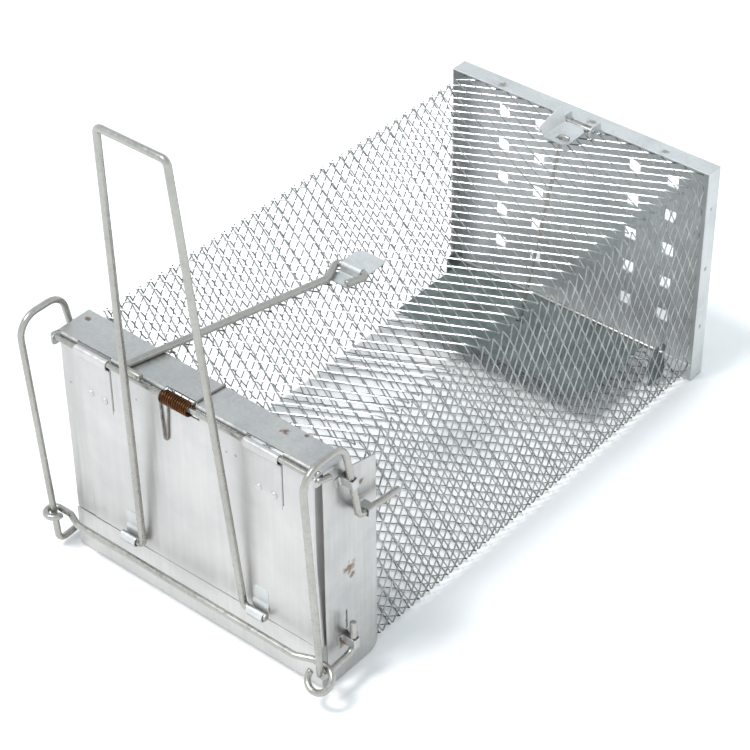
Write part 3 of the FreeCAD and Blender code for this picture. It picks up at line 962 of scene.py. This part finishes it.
@dataclass
class Collar:
    """The folded sheet collar round the door opening.

    Attributes:
        half: from the centre to the outside of a side plate.
        height: the top plate's upper face.
        gauge: the sheet's thickness.
        depth: the side plates' depth.
        lap: how far the top plate's ends fold down over the sides.
        sill: the height of the sill's face.
        face: the sill's and the door's front plane.
        door_half: half the sill's width.
        strap_windows: the lip's notches for the hinge, from left to right.
        spring_window: the lip's notch for the spring, from left to right.
    """

    half: float = 70.75
    height: float = 115.4
    gauge: float = 0.8
    depth: float = 31.0
    lap: float = 7.2
    sill: float = 21.4
    face: float = -2.3
    door_half: float = 69.3
    strap_windows: tuple[tuple[float, float], ...] = ((-59.0, -40.0), (33.0, 52.0))
    spring_window: tuple[float, float] = (-10.6, 6.4)

    def build(self) -> None:
        """Builds the top plate, the sides and the sill."""
        self._top()
        for side in Side:
            self._side(side)
        self._sill()

    def _top(self) -> None:
        """Folds the top plate over the sides; its front lip is notched for the hinge."""
        mesh = bmesh.new()
        out = self.half + self.gauge
        foot = at(-out, 0, self.height - self.lap)
        lip = ((-1.65, -1.9), (-1.65, -0.7), (-1.35, -0.2), (-0.8, 0.0))
        rows = [Vector((-rise, y, 0)) for y, rise in lip]
        rows += [Vector((0, y, 0)) for y in (-0.4, 1.0, 5.0, 10.0, 15.0)]
        corners = [at(x, 0, z) for x, z in ((-out, self.height), (out, self.height))]
        stops = [at(x, 0, self.height) for x in range(-60, 61, 10)]
        end = at(out, 0, self.height - self.lap)
        route = [foot, corners[0], *stops, corners[1], end]
        fold(mesh, [foot + r * MM for r in rows], route, 1.5)
        front = at(-200, -9, 0).y
        for low, high in ((-100, -68.6), (68.6, 100), *self.strap_windows):
            cut_window(mesh, Vector((low * MM, front, 0)), at(high, -0.6, 200))
        low, high = self.spring_window
        cut_window(mesh, Vector((low * MM, front, 0)), at(high, 0.6, 200))
        level = at(0, 14.9, 0).y
        for vert in mesh.verts:
            if vert.co.y > level:
                vert.co.y -= vert.co.x * 0.028
        ripple(mesh, UP, 0.12, 26, 3.0)
        Piece("collar_top", Body.ROOT, Slot.COLLAR, COLLAR_SHEET, ("frame_top_plate",)).make(
            mesh, UP, self.gauge
        )

    def _side(self, side: Side) -> None:
        """Cuts a side plate with its ear for the hinge pin and its lanced slot.

        Args:
            side: which side.
        """
        x = side.value * self.half
        mesh = bmesh.new()
        levels = (0, 6, 20, 45, 70, 95, 109.5, 113.2, self.height - self.gauge)
        route = [at(x, y, 0) for y in (-5.2, 0.2, 8, 16, 24, self.depth)]
        fold(mesh, [at(x, -5.2, z) for z in levels], route, 1.0)
        wide = at(abs(x) + 5, 0.2, 109.5)
        drop_faces(mesh, at(-abs(x) - 5, -6, -1), wide)
        cut_window(mesh, at(x - 2, 11.4, 24.5), at(x + 2, 12.5, 34.5))
        corner = [v for v in mesh.verts if v.co.y > at(0, self.depth - 0.1, 0).y and v.co.z < MM]
        soften(mesh, corner, 5, 5)
        ear = [v for v in mesh.verts if v.co.y < at(0, -5.1, 0).y]
        ends = [v for v in ear if v.co.z in (min(w.co.z for w in ear), max(w.co.z for w in ear))]
        soften(mesh, ends, 2, 4)
        low, high = at(0, 0, 95).z, at(0, 0, self.height - self.gauge).z
        for vert in mesh.verts:
            along = vert.co.y / MM - at(0, 15, 0).y / MM
            if along > 0 and vert.co.z > low:
                fall = 7.1 + 0.22 * along
                vert.co.z -= fall * MM * (vert.co.z - low) / (high - low)
        ripple(mesh, RIGHT, 0.2, 40, 5.0 * side.value)
        name = f"frame_side_{side.name.lower()}"
        Piece(name, Body.ROOT, Slot.COLLAR, COLLAR_SHEET).make(mesh, RIGHT * side.value, self.gauge)

    def _sill(self) -> None:
        """Folds the sill's plate up into its face."""
        mesh = bmesh.new()
        xs = [-self.door_half + i * self.door_half / 6 for i in range(13)]
        route = [at(0, self.depth, 0)] + [at(0, self.face, z) for z in (0, 8, self.sill)]
        fold(mesh, [at(x, self.depth, 0) for x in xs], route, 1.2)
        ripple(mesh, REAR, 0.12, 30, 8.0)
        Piece(
            "collar_sill", Body.ROOT, Slot.COLLAR, DOOR_SHEET, ("frame_sill_plate", "frame_sill_face")
        ).make(mesh, -REAR - UP, self.gauge)


# ---- the rear pan -----------------------------------------------------------


@dataclass
class RearPan:
    """The pressed rear pan: a vented back with four flanges over the mesh.

    Attributes:
        half: half its width.
        height: its height.
        front: where the flanges start.
        rear: the back's outer face.
        columns: the vents' centres across.
        first_row: the lowest vents' height.
        step: from row to row.
        rows: the number of rows.
        gauge: the sheet's thickness.
        vent: a vent's side.
    """

    half: float = 72.25
    height: float = 116.0
    front: float = 260.0
    rear: float = 270.0
    gauge: float = 0.8
    columns: tuple[float, ...] = (-48.0, -27.0, 27.0, 48.0)
    first_row: float = 22.5
    step: float = 18.7
    rows: int = 5
    vent: float = 6.0

    def build(self) -> None:
        """Builds the pan as one pressed sheet."""
        mesh = bmesh.new()
        size = Matrix.Diagonal((2 * self.half * MM, (self.rear - self.front) * MM, self.height * MM, 1))
        centre = at(0, (self.front + self.rear) / 2, self.height / 2)
        bmesh.ops.create_cube(mesh, size=1, matrix=Matrix.Translation(centre) @ size)
        open_side = [f for f in mesh.faces if f.calc_center_median().y < at(0, self.front + 0.1, 0).y]
        bmesh.ops.delete(mesh, geom=open_side, context="FACES")
        folds = [
            e
            for e in mesh.edges
            if len(e.link_faces) == 2 and all(v.co.y > at(0, self.rear - 0.1, 0).y for v in e.verts)
        ]
        soften(mesh, folds, 1.3, 4, "EDGES")
        half = Vector((self.vent / 2, 0.6, self.vent / 2)) * MM
        for x in self.columns:
            for row in range(self.rows):
                middle = at(x, self.rear, self.first_row + row * self.step)
                cut_window(mesh, middle - half, middle + half)
        ripple(mesh, REAR, 0.2, 45, 11.0)
        nodes = ("pan_back", "pan_flange_top", "pan_flange_bottom")
        nodes += ("pan_flange_left", "pan_flange_right")
        Piece("rear_pan", Body.ROOT, Slot.PAN, PAN_SHEET, nodes).make(mesh, REAR, self.gauge, edge=0.2)


# ---- the door ---------------------------------------------------------------


@dataclass
class Door:
    """The drop door: a flanged panel hung on two rolled tongues.

    Attributes:
        half: half its width at the foot.
        face: its front plane.
        bottom: its lower edge.
        top: its upper edge.
        flange: the rear edge of its side flanges.
        gauge: the sheet's thickness.
        taper: how much the right edge draws in towards the top.
        tongues: the centres of the hinge tongues.
        tongue: a tongue's width.
        tongue_foot: the tongues' lower ends.
        pin: the hinge axis, y and z.
        rivet_z: the rivets' height.
        foot: the bail's foot axis, y and z.
        tab_inner: the inner edge of a bail tab.
        tab_shift: how far both tabs sit to the right.
        tab: a tab's width.
        tab_top: a tab's upper edge.
    """

    half: float = 69.3
    face: float = -2.3
    bottom: float = 22.2
    top: float = 111.0
    flange: float = 3.5
    gauge: float = 0.8
    taper: float = 1.6
    tongues: tuple[tuple[str, float], ...] = (("left", -49.5), ("right", 42.5))
    tongue: float = 18.0
    tongue_foot: float = 87.0
    pin: tuple[float, float] = (-3.0, 113.2)
    rivet_z: float = 92.4
    foot: tuple[float, float] = (-5.2, 25.5)
    tab_inner: float = 31.5
    tab_shift: float = 1.8
    tab: float = 8.5
    tab_top: float = 37.5

    def build(self) -> None:
        """Builds the panel, the tongues, the rivets and the bail's tabs."""
        self._panel()
        for name, centre in self.tongues:
            self._tongue(name, centre)
        self._rivets()
        for side in Side:
            self._tab(side)

    def _panel(self) -> None:
        """Folds the panel, creases it by its left edge and lances the tongues' slits."""
        mesh = bmesh.new()
        count = 12
        levels = [self.bottom + i * (self.top - self.bottom) / count for i in range(count + 1)]
        inner = self.face + 0.35
        route = [at(-self.half, self.flange, 0), at(-self.half, inner, 0)]
        route += [at(-58.6, inner, 0), at(-57.6, self.face, 0)]
        route += [at(x, self.face, 0) for x in range(-50, 61, 10)]
        route += [at(self.half, self.face, 0), at(self.half, self.flange, 0)]
        fold(mesh, [at(-self.half, self.flange, z) for z in levels], route, 0.9, 5)
        for _, centre in self.tongues:
            edge = centre + self.tongue / 2
            high = at(edge + 0.85, self.face + 1, self.top + 1)
            cut_window(mesh, at(edge + 0.3, self.face - 1, 89.0), high)
        cut_window(mesh, at(-13, self.face - 1, self.top - 1.7), at(9, self.face + 1, self.top + 1))
        for vert in mesh.verts:
            x, z = vert.co.x / MM, vert.co.z / MM
            if x > 55:
                rise = min(1.0, (z - self.bottom) / 40)
                vert.co.x -= self.taper * rise * (x - 55) / (self.half - 55) * MM
        ripple(mesh, REAR, 0.45, 34, 21.0)
        Piece("door_panel", Body.DOOR, Slot.DOOR, DOOR_SHEET).make(mesh, -REAR, self.gauge)

    def _tongue(self, name: str, centre: float) -> None:
        """Rolls a tongue of the door round the hinge pin.

        Args:
            name: left or right.
            centre: its centre across.
        """
        mesh = bmesh.new()
        y, z = self.pin
        roll = 1.72
        leaf = self.face - 0.3
        xs = [centre + self.tongue * (i / 6 - 0.5) for i in range(7)]
        route = [at(0, leaf, h) for h in (self.tongue_foot, 100, 108.9)]
        route += [at(0, y - roll, h) for h in (111.4, z)]
        bench = fold(mesh, [at(x, leaf, self.tongue_foot) for x in xs], route, 0.8)
        bench.heading = UP.copy()
        bench.bend(-RIGHT, math.radians(250), roll * MM, 16)
        node = f"hinge_strap_{name}"
        Piece(node, Body.DOOR, Slot.DOOR, DOOR_SHEET).make(mesh, -REAR, 0.55, edge=0.12)

    def _rivets(self) -> None:
        """Spins the four dimpled rivet heads."""
        mesh = bmesh.new()
        profile = ((0.0, -0.25), (0.5, -0.3), (0.85, -0.62), (1.3, -0.6), (1.62, -0.25), (1.7, 0.1))
        for _, centre in self.tongues:
            for side in Side:
                head = at(centre + side.value * 4.0 + 0.9, self.face - 0.3, self.rivet_z)
                row = row_of_edges(mesh, [head + Vector((r, d, 0)) * MM for r, d in profile])
                verts = list(dict.fromkeys(v for e in row for v in e.verts))
                bmesh.ops.spin(
                    mesh,
                    geom=verts + row,
                    cent=head,
                    axis=REAR,
                    angle=2 * math.pi,
                    steps=18,
                    use_merge=True,
                )
        bmesh.ops.remove_doubles(mesh, verts=mesh.verts[:], dist=1e-6)
        bmesh.ops.holes_fill(mesh, edges=[e for e in mesh.edges if e.is_boundary], sides=0)
        Piece("strap_rivets", Body.DOOR, Slot.DOOR, PAN_SHEET).make(mesh)

    def _tab(self, side: Side) -> None:
        """Rolls a tab of the door round a foot of the bail.

        Args:
            side: which side.
        """
        mesh = bmesh.new()
        y, z = self.foot
        roll = 1.98
        leaf = self.face - 0.35
        near = side.value * self.tab_inner + self.tab_shift
        xs = [near + side.value * self.tab * i / 6 for i in range(7)]
        route = [at(0, leaf, h) for h in (self.tab_top, 34, 30.5)]
        route += [at(0, y + roll, h) for h in (28.6, z)]
        bench = fold(mesh, [at(x, leaf, self.tab_top) for x in xs], route, 0.9)
        bench.heading = -UP
        bench.bend(-RIGHT, math.radians(255), roll * MM, 16)
        corners = [v for v in mesh.verts if v.co.z > at(0, 0, self.tab_top - 0.1).z]
        ends = [v for v in corners if len(v.link_edges) == 2]
        soften(mesh, ends, 3, 5)
        node = f"bail_tab_{side.name.lower()}"
        Piece(node, Body.DOOR, Slot.DOOR, PAN_SHEET).make(mesh, -REAR, 0.6, edge=0.12)


# ---- wires ------------------------------------------------------------------


@dataclass
class Hinge:
    """The hinge pin and the torsion spring on it.

    Attributes:
        axis: the hinge axis, y and z.
        reach: where the pin's ends are bent back.
        radius: the pin's radius.
        wire: the spring wire's radius.
        coil: the coil's mean radius.
        left: the coil's left end.
        right: the coil's right end.
        turns: the coil's turns.
    """

    axis: tuple[float, float] = (-3.0, 113.2)
    reach: float = 72.2
    radius: float = 1.2
    wire: float = 0.45
    coil: float = 2.65
    left: float = -9.6
    right: float = 5.4
    turns: int = 13

    def build(self) -> None:
        """Builds the pin, the coil with its rear leg and the hairpin on the door."""
        y, z = self.axis
        ends = [at(s * self.reach, y + 6, z - 1.5) for s in (-1, 1)]
        bends = [at(s * self.reach, y, z) for s in (-1, 1)]
        wire_piece("hinge_pin", Body.ROOT, [ends[0], *bends, ends[1]], self.radius, 1.25)
        self._coil()
        top, bottom, front = 109.0, 90.4, -2.8
        hairpin = [
            at(x, front, h)
            for x, h in ((-12.0, top), (-11.0, bottom), (-9.2, bottom), (-7.6, top))
        ]
        Piece("spring_door_leg", Body.DOOR, Slot.SPRING, SPRING_END).make(
            wire_mesh(hairpin, self.wire, 0.85, sides=8)
        )

    def _coil(self) -> None:
        """Winds the coil round the pin and leads its leg back over the collar."""
        y, z = self.axis
        mesh = bmesh.new()
        start = at(self.left, y, z + self.coil)
        ring, first = wire_end(mesh, start, -REAR, self.wire, 8)
        facets = 20
        steps = self.turns * facets
        pitch = RIGHT * (self.right - self.left) * MM / steps
        last = bmesh.ops.spin(
            mesh,
            geom=ring + first,
            cent=at(0, y, z),
            axis=RIGHT,
            dvec=pitch,
            angle=2 * math.pi * self.turns,
            steps=steps,
            use_duplicate=False,
        )["geom_last"]
        rim = [g for g in last if isinstance(g, bmesh.types.BMEdge)]
        close_ends(mesh, [first, rim], self.wire)
        leg_z = 115.9
        leg = [at(self.right, y + 0.4, leg_z - 0.1), at(self.right + 0.6, 1.0, leg_z)]
        leg.append(at(self.right + 2, 15, leg_z))
        Piece("torsion_spring", Body.ROOT, Slot.SPRING, SPRING_WIRE).make(mesh)
        Piece("spring_rear_leg", Body.ROOT, Slot.SPRING, SPRING_END, ()).make(
            wire_mesh(leg, self.wire, 1.5, sides=8)
        )


@dataclass
class SettingWires:
    """The bail, the holding rod with its saddle, the guides and the locking bar.

    Attributes:
        heavy: the radius of the bail's and the rod's wire.
        light: the radius of the guides' and the bar's wire.
        rod_z: the rod's height over the roof.
        pivot: the rod's pivot along the cage.
        guide_x: the guides' distance from the centre.
        guide_low: the height of the left and the right guide's foot.
        shoulder: where a guide's rear leg meets its tail, along and up.
        crown: the rear corner of a guide's arch, along and up.
        slope: how far a guide leans forward for each unit it rises.
        bail_foot: the axis of the bail's feet, y and z.
        bail_top: the bail's top run, y and z.
    """

    heavy: float = 1.6
    light: float = 1.5
    rod_z: float = 117.1
    pivot: float = 105.2
    guide_x: float = 75.5
    guide_low: tuple[float, float] = (3.0, 15.0)
    shoulder: tuple[float, float] = (15.0, 85.5)
    crown: tuple[float, float] = (7.0, 126.5)
    slope: float = 0.065
    bail_foot: tuple[float, float] = (-5.2, 25.5)
    bail_top: tuple[float, float] = (-18.0, 242.0)

    def build(self) -> None:
        """Builds every wire that sets, guides and locks the door."""
        self._bail()
        self._rod()
        self._saddle()
        for side in Side:
            self._guide(side)
            self._clips(side)
        self._bar()

    def _bail(self) -> None:
        """Bends the tall bail, with its feet turned outward."""
        left = [at(x, *self.bail_foot) for x in (-39.2, -26.7)]
        top = [at(x, *self.bail_top) for x in (-17.5, 17.5)]
        right = [at(x, *self.bail_foot) for x in (30.3, 42.8)]
        wire_piece("bail_wire", Body.BAIL, left + top + right, self.heavy, 2.6, sides=16)

    def _rod(self) -> None:
        """Bends the holding rod with its hooked tip and its cranked end."""
        places = (
            (-20.5, -3.9),
            (-31.6, -3.9),
            (-7.0, self.pivot - 12.2),
            (-12.0, self.pivot),
            (5.4, self.pivot),
            (1.2, self.pivot - 10.0),
        )
        route = [at(x, y, self.rod_z) for x, y in places]
        wire_piece("holding_rod", Body.ROD, route, self.heavy, 2.2, sides=16)

    def _saddle(self) -> None:
        """Folds the saddle clip over the rod's cross-member."""
        mesh = bmesh.new()
        base = 115.1
        roll = 1.98
        left, right = -8.4, 1.9
        xs = [-12.4, left, -5.0, -1.6, right, 2.6]
        route = [at(0, y, base) for y in (95.6, 99, 101.4)]
        bench = fold(mesh, [at(x, 95.6, base) for x in xs], route, 1.0)
        rise = [at(0, 101.4, base), at(0, 102.6, base), at(0, self.pivot - roll, self.rod_z - 0.6)]
        bench.follow([*rise, at(0, self.pivot - roll, self.rod_z)], 0.5 * MM, 4)
        bench.heading = UP.copy()
        bench.bend(-RIGHT, math.pi, roll * MM, 14)
        fall = [at(0, self.pivot + roll, self.rod_z), at(0, self.pivot + roll, self.rod_z - 0.7)]
        fall += [at(0, y, base) for y in (self.pivot + 3.2, 112, 120.4)]
        bench.follow(fall, 0.5 * MM, 4)
        for low, high in ((-13, left), (right, 4)):
            drop_faces(mesh, at(low, 101.0, 110), at(high, self.pivot + 3.0, 125))
        tips = [v for v in mesh.verts if len(v.link_edges) == 2]
        soften(mesh, tips, 2.6, 1)
        Piece("saddle_clip", Body.ROOT, Slot.PAN, PAN_SHEET).make(mesh, UP, 0.5, edge=0.12)

    def _guide(self, side: Side) -> None:
        """Bends a guide wire that leans forward as it rises.

        Args:
            side: which side.
        """
        x = side.value * self.guide_x
        low = self.guide_low[side.value > 0]
        places = (
            (39.4, 83.0),
            self.shoulder,
            self.crown,
            (-17.12, self.crown[1]),
            (-8.9 - self.slope * low, low),
            (10.4, low + 1.5),
            (10.4, 32.0),
        )
        name = f"guide_wire_{side.name.lower()}"
        route = [at(x, y, z) for y, z in places]
        arch = {2: 9 * MM, 3: 9 * MM}
        wire_piece(name, Body.ROOT, route, self.light, 4.0, wider=arch)

    def _clips(self, side: Side) -> None:
        """Bends the clips that strap a guide to the collar's side.

        Args:
            side: which side.
        """
        mesh = bmesh.new()
        corner = Vector((0, *self.shoulder))
        leg = Vector((0, *self.crown)) - corner
        tail = Vector((0, 39.4, 83.0)) - corner
        low = self.guide_low[side.value > 0] + 1.5
        spots = (
            (corner + leg * 0.48, leg),
            (corner + tail * 0.24, tail),
            (Vector((0, 10.4, 32 - (32 - low) * 0.7)), Vector((0, 0, 1))),
        )
        inner, gauge, length = self.light + 0.35, 0.7, 4.6
        for spot, run in spots:
            run = run.normalized()
            across = Vector((1, 0, 0)).cross(run)
            wall = 70.75 * side.value
            stops = [
                Vector((wall, 0, 0)) - across * (inner + 2.4) + spot,
                Vector((wall, 0, 0)) - across * inner + spot,
                Vector((side.value * (self.guide_x + inner), 0, 0)) - across * inner + spot,
                Vector((side.value * (self.guide_x + inner), 0, 0)) + across * inner + spot,
                Vector((wall, 0, 0)) + across * inner + spot,
                Vector((wall, 0, 0)) + across * (inner + 2.4) + spot,
            ]
            stops = [p + Vector((side.value * gauge / 2, 0, 0)) for p in stops]
            route = [at(*p) for p in stops]
            ends = [route[0] + run * length * MM * share for share in (-0.5, 0, 0.5)]
            fold(mesh, ends, route, 0.8, 5)
        name = f"guide_clips_{side.name.lower()}"
        Piece(name, Body.ROOT, Slot.COLLAR, COLLAR_SHEET).make(mesh, RIGHT * side.value, 0.6, edge=0.15)

    def _bar(self) -> None:
        """Bends the locking bar with a flat ring on the left and a hanging loop on the right."""
        rear, front = -6.6, -9.8
        out = ((75.5, rear), (69.0, rear), (61.5, front))
        places = [(-x, y) for x, y in out] + list(reversed(out))
        mesh = bmesh.new()
        route = [at(x, y, 20.0) for x, y in places]
        _, start = wire_end(mesh, route[0], RIGHT, self.light, 14)
        right = Bench(mesh, start, route[0], RIGHT)
        right.follow(route, 3 * MM)
        tilt = math.radians(45)
        right.heading = RIGHT.copy()
        right.bend(Vector((0, math.sin(tilt), -math.cos(tilt))), math.radians(285), 5.6 * MM, 26)
        left = Bench(mesh, start, route[0], -RIGHT)
        left.bend(UP, math.radians(280), 3.6 * MM, 22)
        close_ends(mesh, [left.edges, right.edges], self.light)
        Piece("lock_bar", Body.BAR, Slot.WIRE, ZINC_WIRE).make(mesh)


# ---- treadle, link and catch ------------------------------------------------


@dataclass
class Trip:
    """The treadle with its axle and brackets, the link wire and the roof catch.

    Attributes:
        left: the treadle's left edge.
        right: its right edge.
        front: its front edge.
        rear: its rear edge.
        level: its top face.
        axle: the axle, y and z.
        pivot: the catch's pin, y and z.
        catch_left: the catch's left edge.
        catch_right: its right edge.
        link_top: where the link hangs in the catch, across.
    """

    left: float = -55.0
    right: float = 52.0
    front: float = 197.0
    rear: float = 248.3
    level: float = 18.4
    axle: tuple[float, float] = (249.5, 18.0)
    pivot: tuple[float, float] = (254.0, 118.0)
    catch_left: float = -1.0
    catch_right: float = 11.0
    link_top: float = 5.0

    def build(self) -> None:
        """Builds the treadle, the link and the catch."""
        self._treadle()
        for side in Side:
            self._bracket(side)
        y, z = self.axle
        wire_piece("treadle_axle", Body.TREADLE, [at(-63, y, z), at(63, y, z)], 1.2, 1.0)
        self._link()
        self._catch()

    def _treadle(self) -> None:
        """Cuts the treadle plate and pierces it for the link."""
        mesh = bmesh.new()
        xs = [self.left + (self.right - self.left) * i / 10 for i in range(11)]
        route = [at(0, y, self.level) for y in (self.front, 207, 217, 227, 237, self.rear - 0.3)]
        fold(mesh, [at(x, self.front, self.level) for x in xs], route, 1.0)
        cut_window(mesh, at(-6.1, 225.9, 10), at(-1.9, 230.1, 30))
        ripple(mesh, UP, 0.3, 30, 31.0)
        Piece("treadle_plate", Body.TREADLE, Slot.TRIP, TRIP_SHEET).make(mesh, UP, 0.8)

    def _bracket(self, side: Side) -> None:
        """Cuts an upright bracket for the axle.

        Args:
            side: which side.
        """
        mesh = bmesh.new()
        y, z = self.axle
        outer = 60.8 if side is Side.LEFT else 60.0
        x = side.value * outer
        route = [at(x, y, h) for h in (0.6, 10, 15, 20.4)]
        fold(mesh, [at(x, y - 6 + i * 3, 0.6) for i in range(5)], route, 1.0)
        tops = [v for v in mesh.verts if len(v.link_edges) == 2 and v.co.z > 19 * MM]
        soften(mesh, tops, 4, 5)
        name = f"treadle_bracket_{side.name.lower()}"
        Piece(name, Body.ROOT, Slot.TRIP, TRIP_SHEET).make(mesh, RIGHT, 0.8)

    def _link(self) -> None:
        """Bends the link wire from the catch down to the treadle."""
        top_z = 118 + 0.4 + 0.9 + 0.35
        foot_z = 17.6 - 0.9 - 0.4
        route = [
            at(self.link_top + 5, 240, top_z),
            at(self.link_top, 240, top_z),
            at(self.link_top, 240, top_z - 6),
            at(-4, 228, 23.6),
            at(-4, 228, foot_z),
            at(-9, 228, foot_z),
        ]
        wire_piece("catch_link", Body.LINK, route, 0.9, 1.4, sides=10)

    def _catch(self) -> None:
        """Folds the catch lever with its upright wing, and makes its pin and ears."""
        y, z = self.pivot
        mesh = bmesh.new()
        roll = 1.5
        ys = [236.0 + i * 2.78 for i in range(7)]
        lean = at(self.catch_left - 2.2, 0, z + 8.2)
        route = [lean] + [at(x, 0, z + 0.4) for x in (self.catch_left, 3, 7, self.catch_right)]
        fold(mesh, [Vector((lean.x, at(0, d, 0).y, lean.z)) for d in ys], route, 0.7, 5)
        peak = [v for v in mesh.verts if v.co.z > at(0, 0, z + 7.5).z]
        for vert in peak:
            vert.co.z -= abs(vert.co.y - at(0, 250, 0).y) * 0.22
        tips = [v for v in mesh.verts if len(v.link_edges) == 2 and v.co.z < at(0, 0, z + 2).z]
        soften(mesh, tips, 2.4, 1)
        cut_window(mesh, at(self.link_top - 1.6, 238.4, z - 1), at(self.link_top + 1.6, 241.6, z + 2))
        rear = row_of_edges(
            mesh, [at(x, y - 1.31, z + 0.4) for x in (self.catch_left + 0.8, 5, self.catch_right - 0.2)]
        )
        knuckle = Bench(mesh, rear, at(5, y - 1.31, z + 0.4), REAR)
        knuckle.pull(0.2 * MM)
        knuckle.bend(-RIGHT, math.radians(270), roll * MM, 14)
        Piece("catch_lever", Body.CATCH, Slot.TRIP, PAN_SHEET).make(mesh, UP + RIGHT * 0.2, 0.7)
        pin = [at(self.catch_left - 3, y, z), at(self.catch_right + 3, y, z)]
        wire_piece("catch_pin", Body.ROOT, pin, 1.0, 1.0)
        for side, x in ((Side.LEFT, self.catch_left - 2.3), (Side.RIGHT, self.catch_right + 2.3)):
            self._ear(side, x)

    def _ear(self, side: Side, x: float) -> None:
        """Cuts an ear of the pan that carries the catch's pin.

        Args:
            side: which side.
            x: the ear's outer face.
        """
        mesh = bmesh.new()
        y = self.pivot[0]
        route = [at(x, y, h) for h in (115.3, 118, 120.3)]
        fold(mesh, [at(x, d, 115.3) for d in (y - 2.4, y, y + 3, 260)], route, 1.0)
        tops = [v for v in mesh.verts if len(v.link_edges) == 2 and v.co.z > at(0, 0, 120).z]
        soften(mesh, tops, 1.8, 4)
        name = f"catch_ear_{side.name.lower()}"
        Piece(name, Body.ROOT, Slot.PAN, PAN_SHEET).make(mesh, RIGHT * side.value, 0.7)


# ---- the studio -------------------------------------------------------------


@dataclass
class Studio:
    """A pale floor, a soft key light with a cool overhead fill, and the camera.

    Attributes:
        place: the camera's position in metres.
        turn: its azimuth in degrees.
        tilt: its elevation in degrees.
        roll: its roll in degrees.
        lens: its focal length in millimetres on a 36 mm sensor.
        sun: the key light's strength.
        sky: the strength of the overhead fill.
    """

    place: tuple[float, float, float] = (0.5261, -0.6443, 0.7002)
    turn: float = 40.12
    tilt: float = 38.27
    roll: float = -0.55
    lens: float = 114.5
    sun: float = 1.9
    sky: float = 1.25

    def build(self) -> None:
        """Sets up the floor, the lights, the camera and the plain colour transform."""
        self._floor()
        self._lights()
        self._camera()
        bpy.context.scene.view_settings.view_transform = "Standard"

    def _floor(self) -> None:
        """Lays a wide, pale, matt floor under the trap."""
        mesh = bmesh.new()
        bmesh.ops.create_grid(
            mesh, x_segments=1, y_segments=1, size=6.0, matrix=Matrix.Translation((0, 0, -0.0004))
        )
        data = bpy.data.meshes.new("floor")
        mesh.to_mesh(data)
        mesh.free()
        floor = bpy.data.objects.new("floor", data)
        bpy.context.scene.collection.objects.link(floor)
        paint = bpy.data.materials.new("matt_white_floor")
        paint.use_nodes = True
        shader = paint.node_tree.nodes["Principled BSDF"]
        shader.inputs["Base Color"].default_value = colour("fbfbfb")
        shader.inputs["Roughness"].default_value = 0.9
        data.materials.append(paint)

    def _lights(self) -> None:
        """Adds the key light and a fill that is white low down and cooler overhead."""
        lamp = bpy.data.lights.new("key", "SUN")
        lamp.energy = self.sun
        lamp.angle = math.radians(14)
        key = bpy.data.objects.new("key", lamp)
        key.rotation_mode = "QUATERNION"
        key.rotation_quaternion = Vector((0.16, 0.40, -0.90)).to_track_quat("-Z", "Y")
        bpy.context.scene.collection.objects.link(key)
        world = bpy.data.worlds.new("soft_fill")
        bpy.context.scene.world = world
        world.use_nodes = True
        tree = world.node_tree
        tree.nodes.clear()
        way = add_node(tree, "ShaderNodeTexCoord").outputs["Generated"]
        rise = add_node(tree, "ShaderNodeSeparateXYZ", Vector=way).outputs["Z"]
        share = add_node(
            tree, "ShaderNodeMapRange", Value=rise, From_Min=0.05, From_Max=0.6, To_Min=0.0, To_Max=1.0
        ).outputs["Result"]
        tint = add_node(
            tree,
            "ShaderNodeMix",
            {"data_type": "RGBA"},
            i0=share,
            i6=colour("ffffff"),
            i7=colour("d3dbe0"),
        ).outputs[2]
        glow = add_node(tree, "ShaderNodeBackground", Color=tint, Strength=self.sky)
        add_node(tree, "ShaderNodeOutputWorld", Surface=glow.outputs["Background"])

    def _camera(self) -> None:
        """Places the camera."""
        lens = bpy.data.cameras.new("camera")
        lens.lens = self.lens
        lens.sensor_width = 36.0
        camera = bpy.data.objects.new("camera", lens)
        turn, tilt, roll = (math.radians(a) for a in (self.turn, self.tilt, self.roll))
        look = Matrix.Rotation(turn, 4, "Z") @ Matrix.Rotation(math.pi / 2 - tilt, 4, "X")
        spin = Matrix.Rotation(roll, 4, "Z")
        camera.matrix_world = Matrix.Translation(self.place) @ look @ spin
        bpy.context.scene.collection.objects.link(camera)
        bpy.context.scene.camera = camera


def main() -> None:
    """Builds the trap's sub-assemblies in order, then the studio."""
    noise.seed_set(NOISE_SEED)
    logging.basicConfig(level=logging.INFO, format="%(message)s")
    Studio().build()
    for part in (ExpandedCage(), Collar(), RearPan(), Door(), Hinge(), SettingWires(), Trip()):
        LOG.info("building %s", type(part).__name__)
        part.build()


if __name__ == "__main__":
    main()
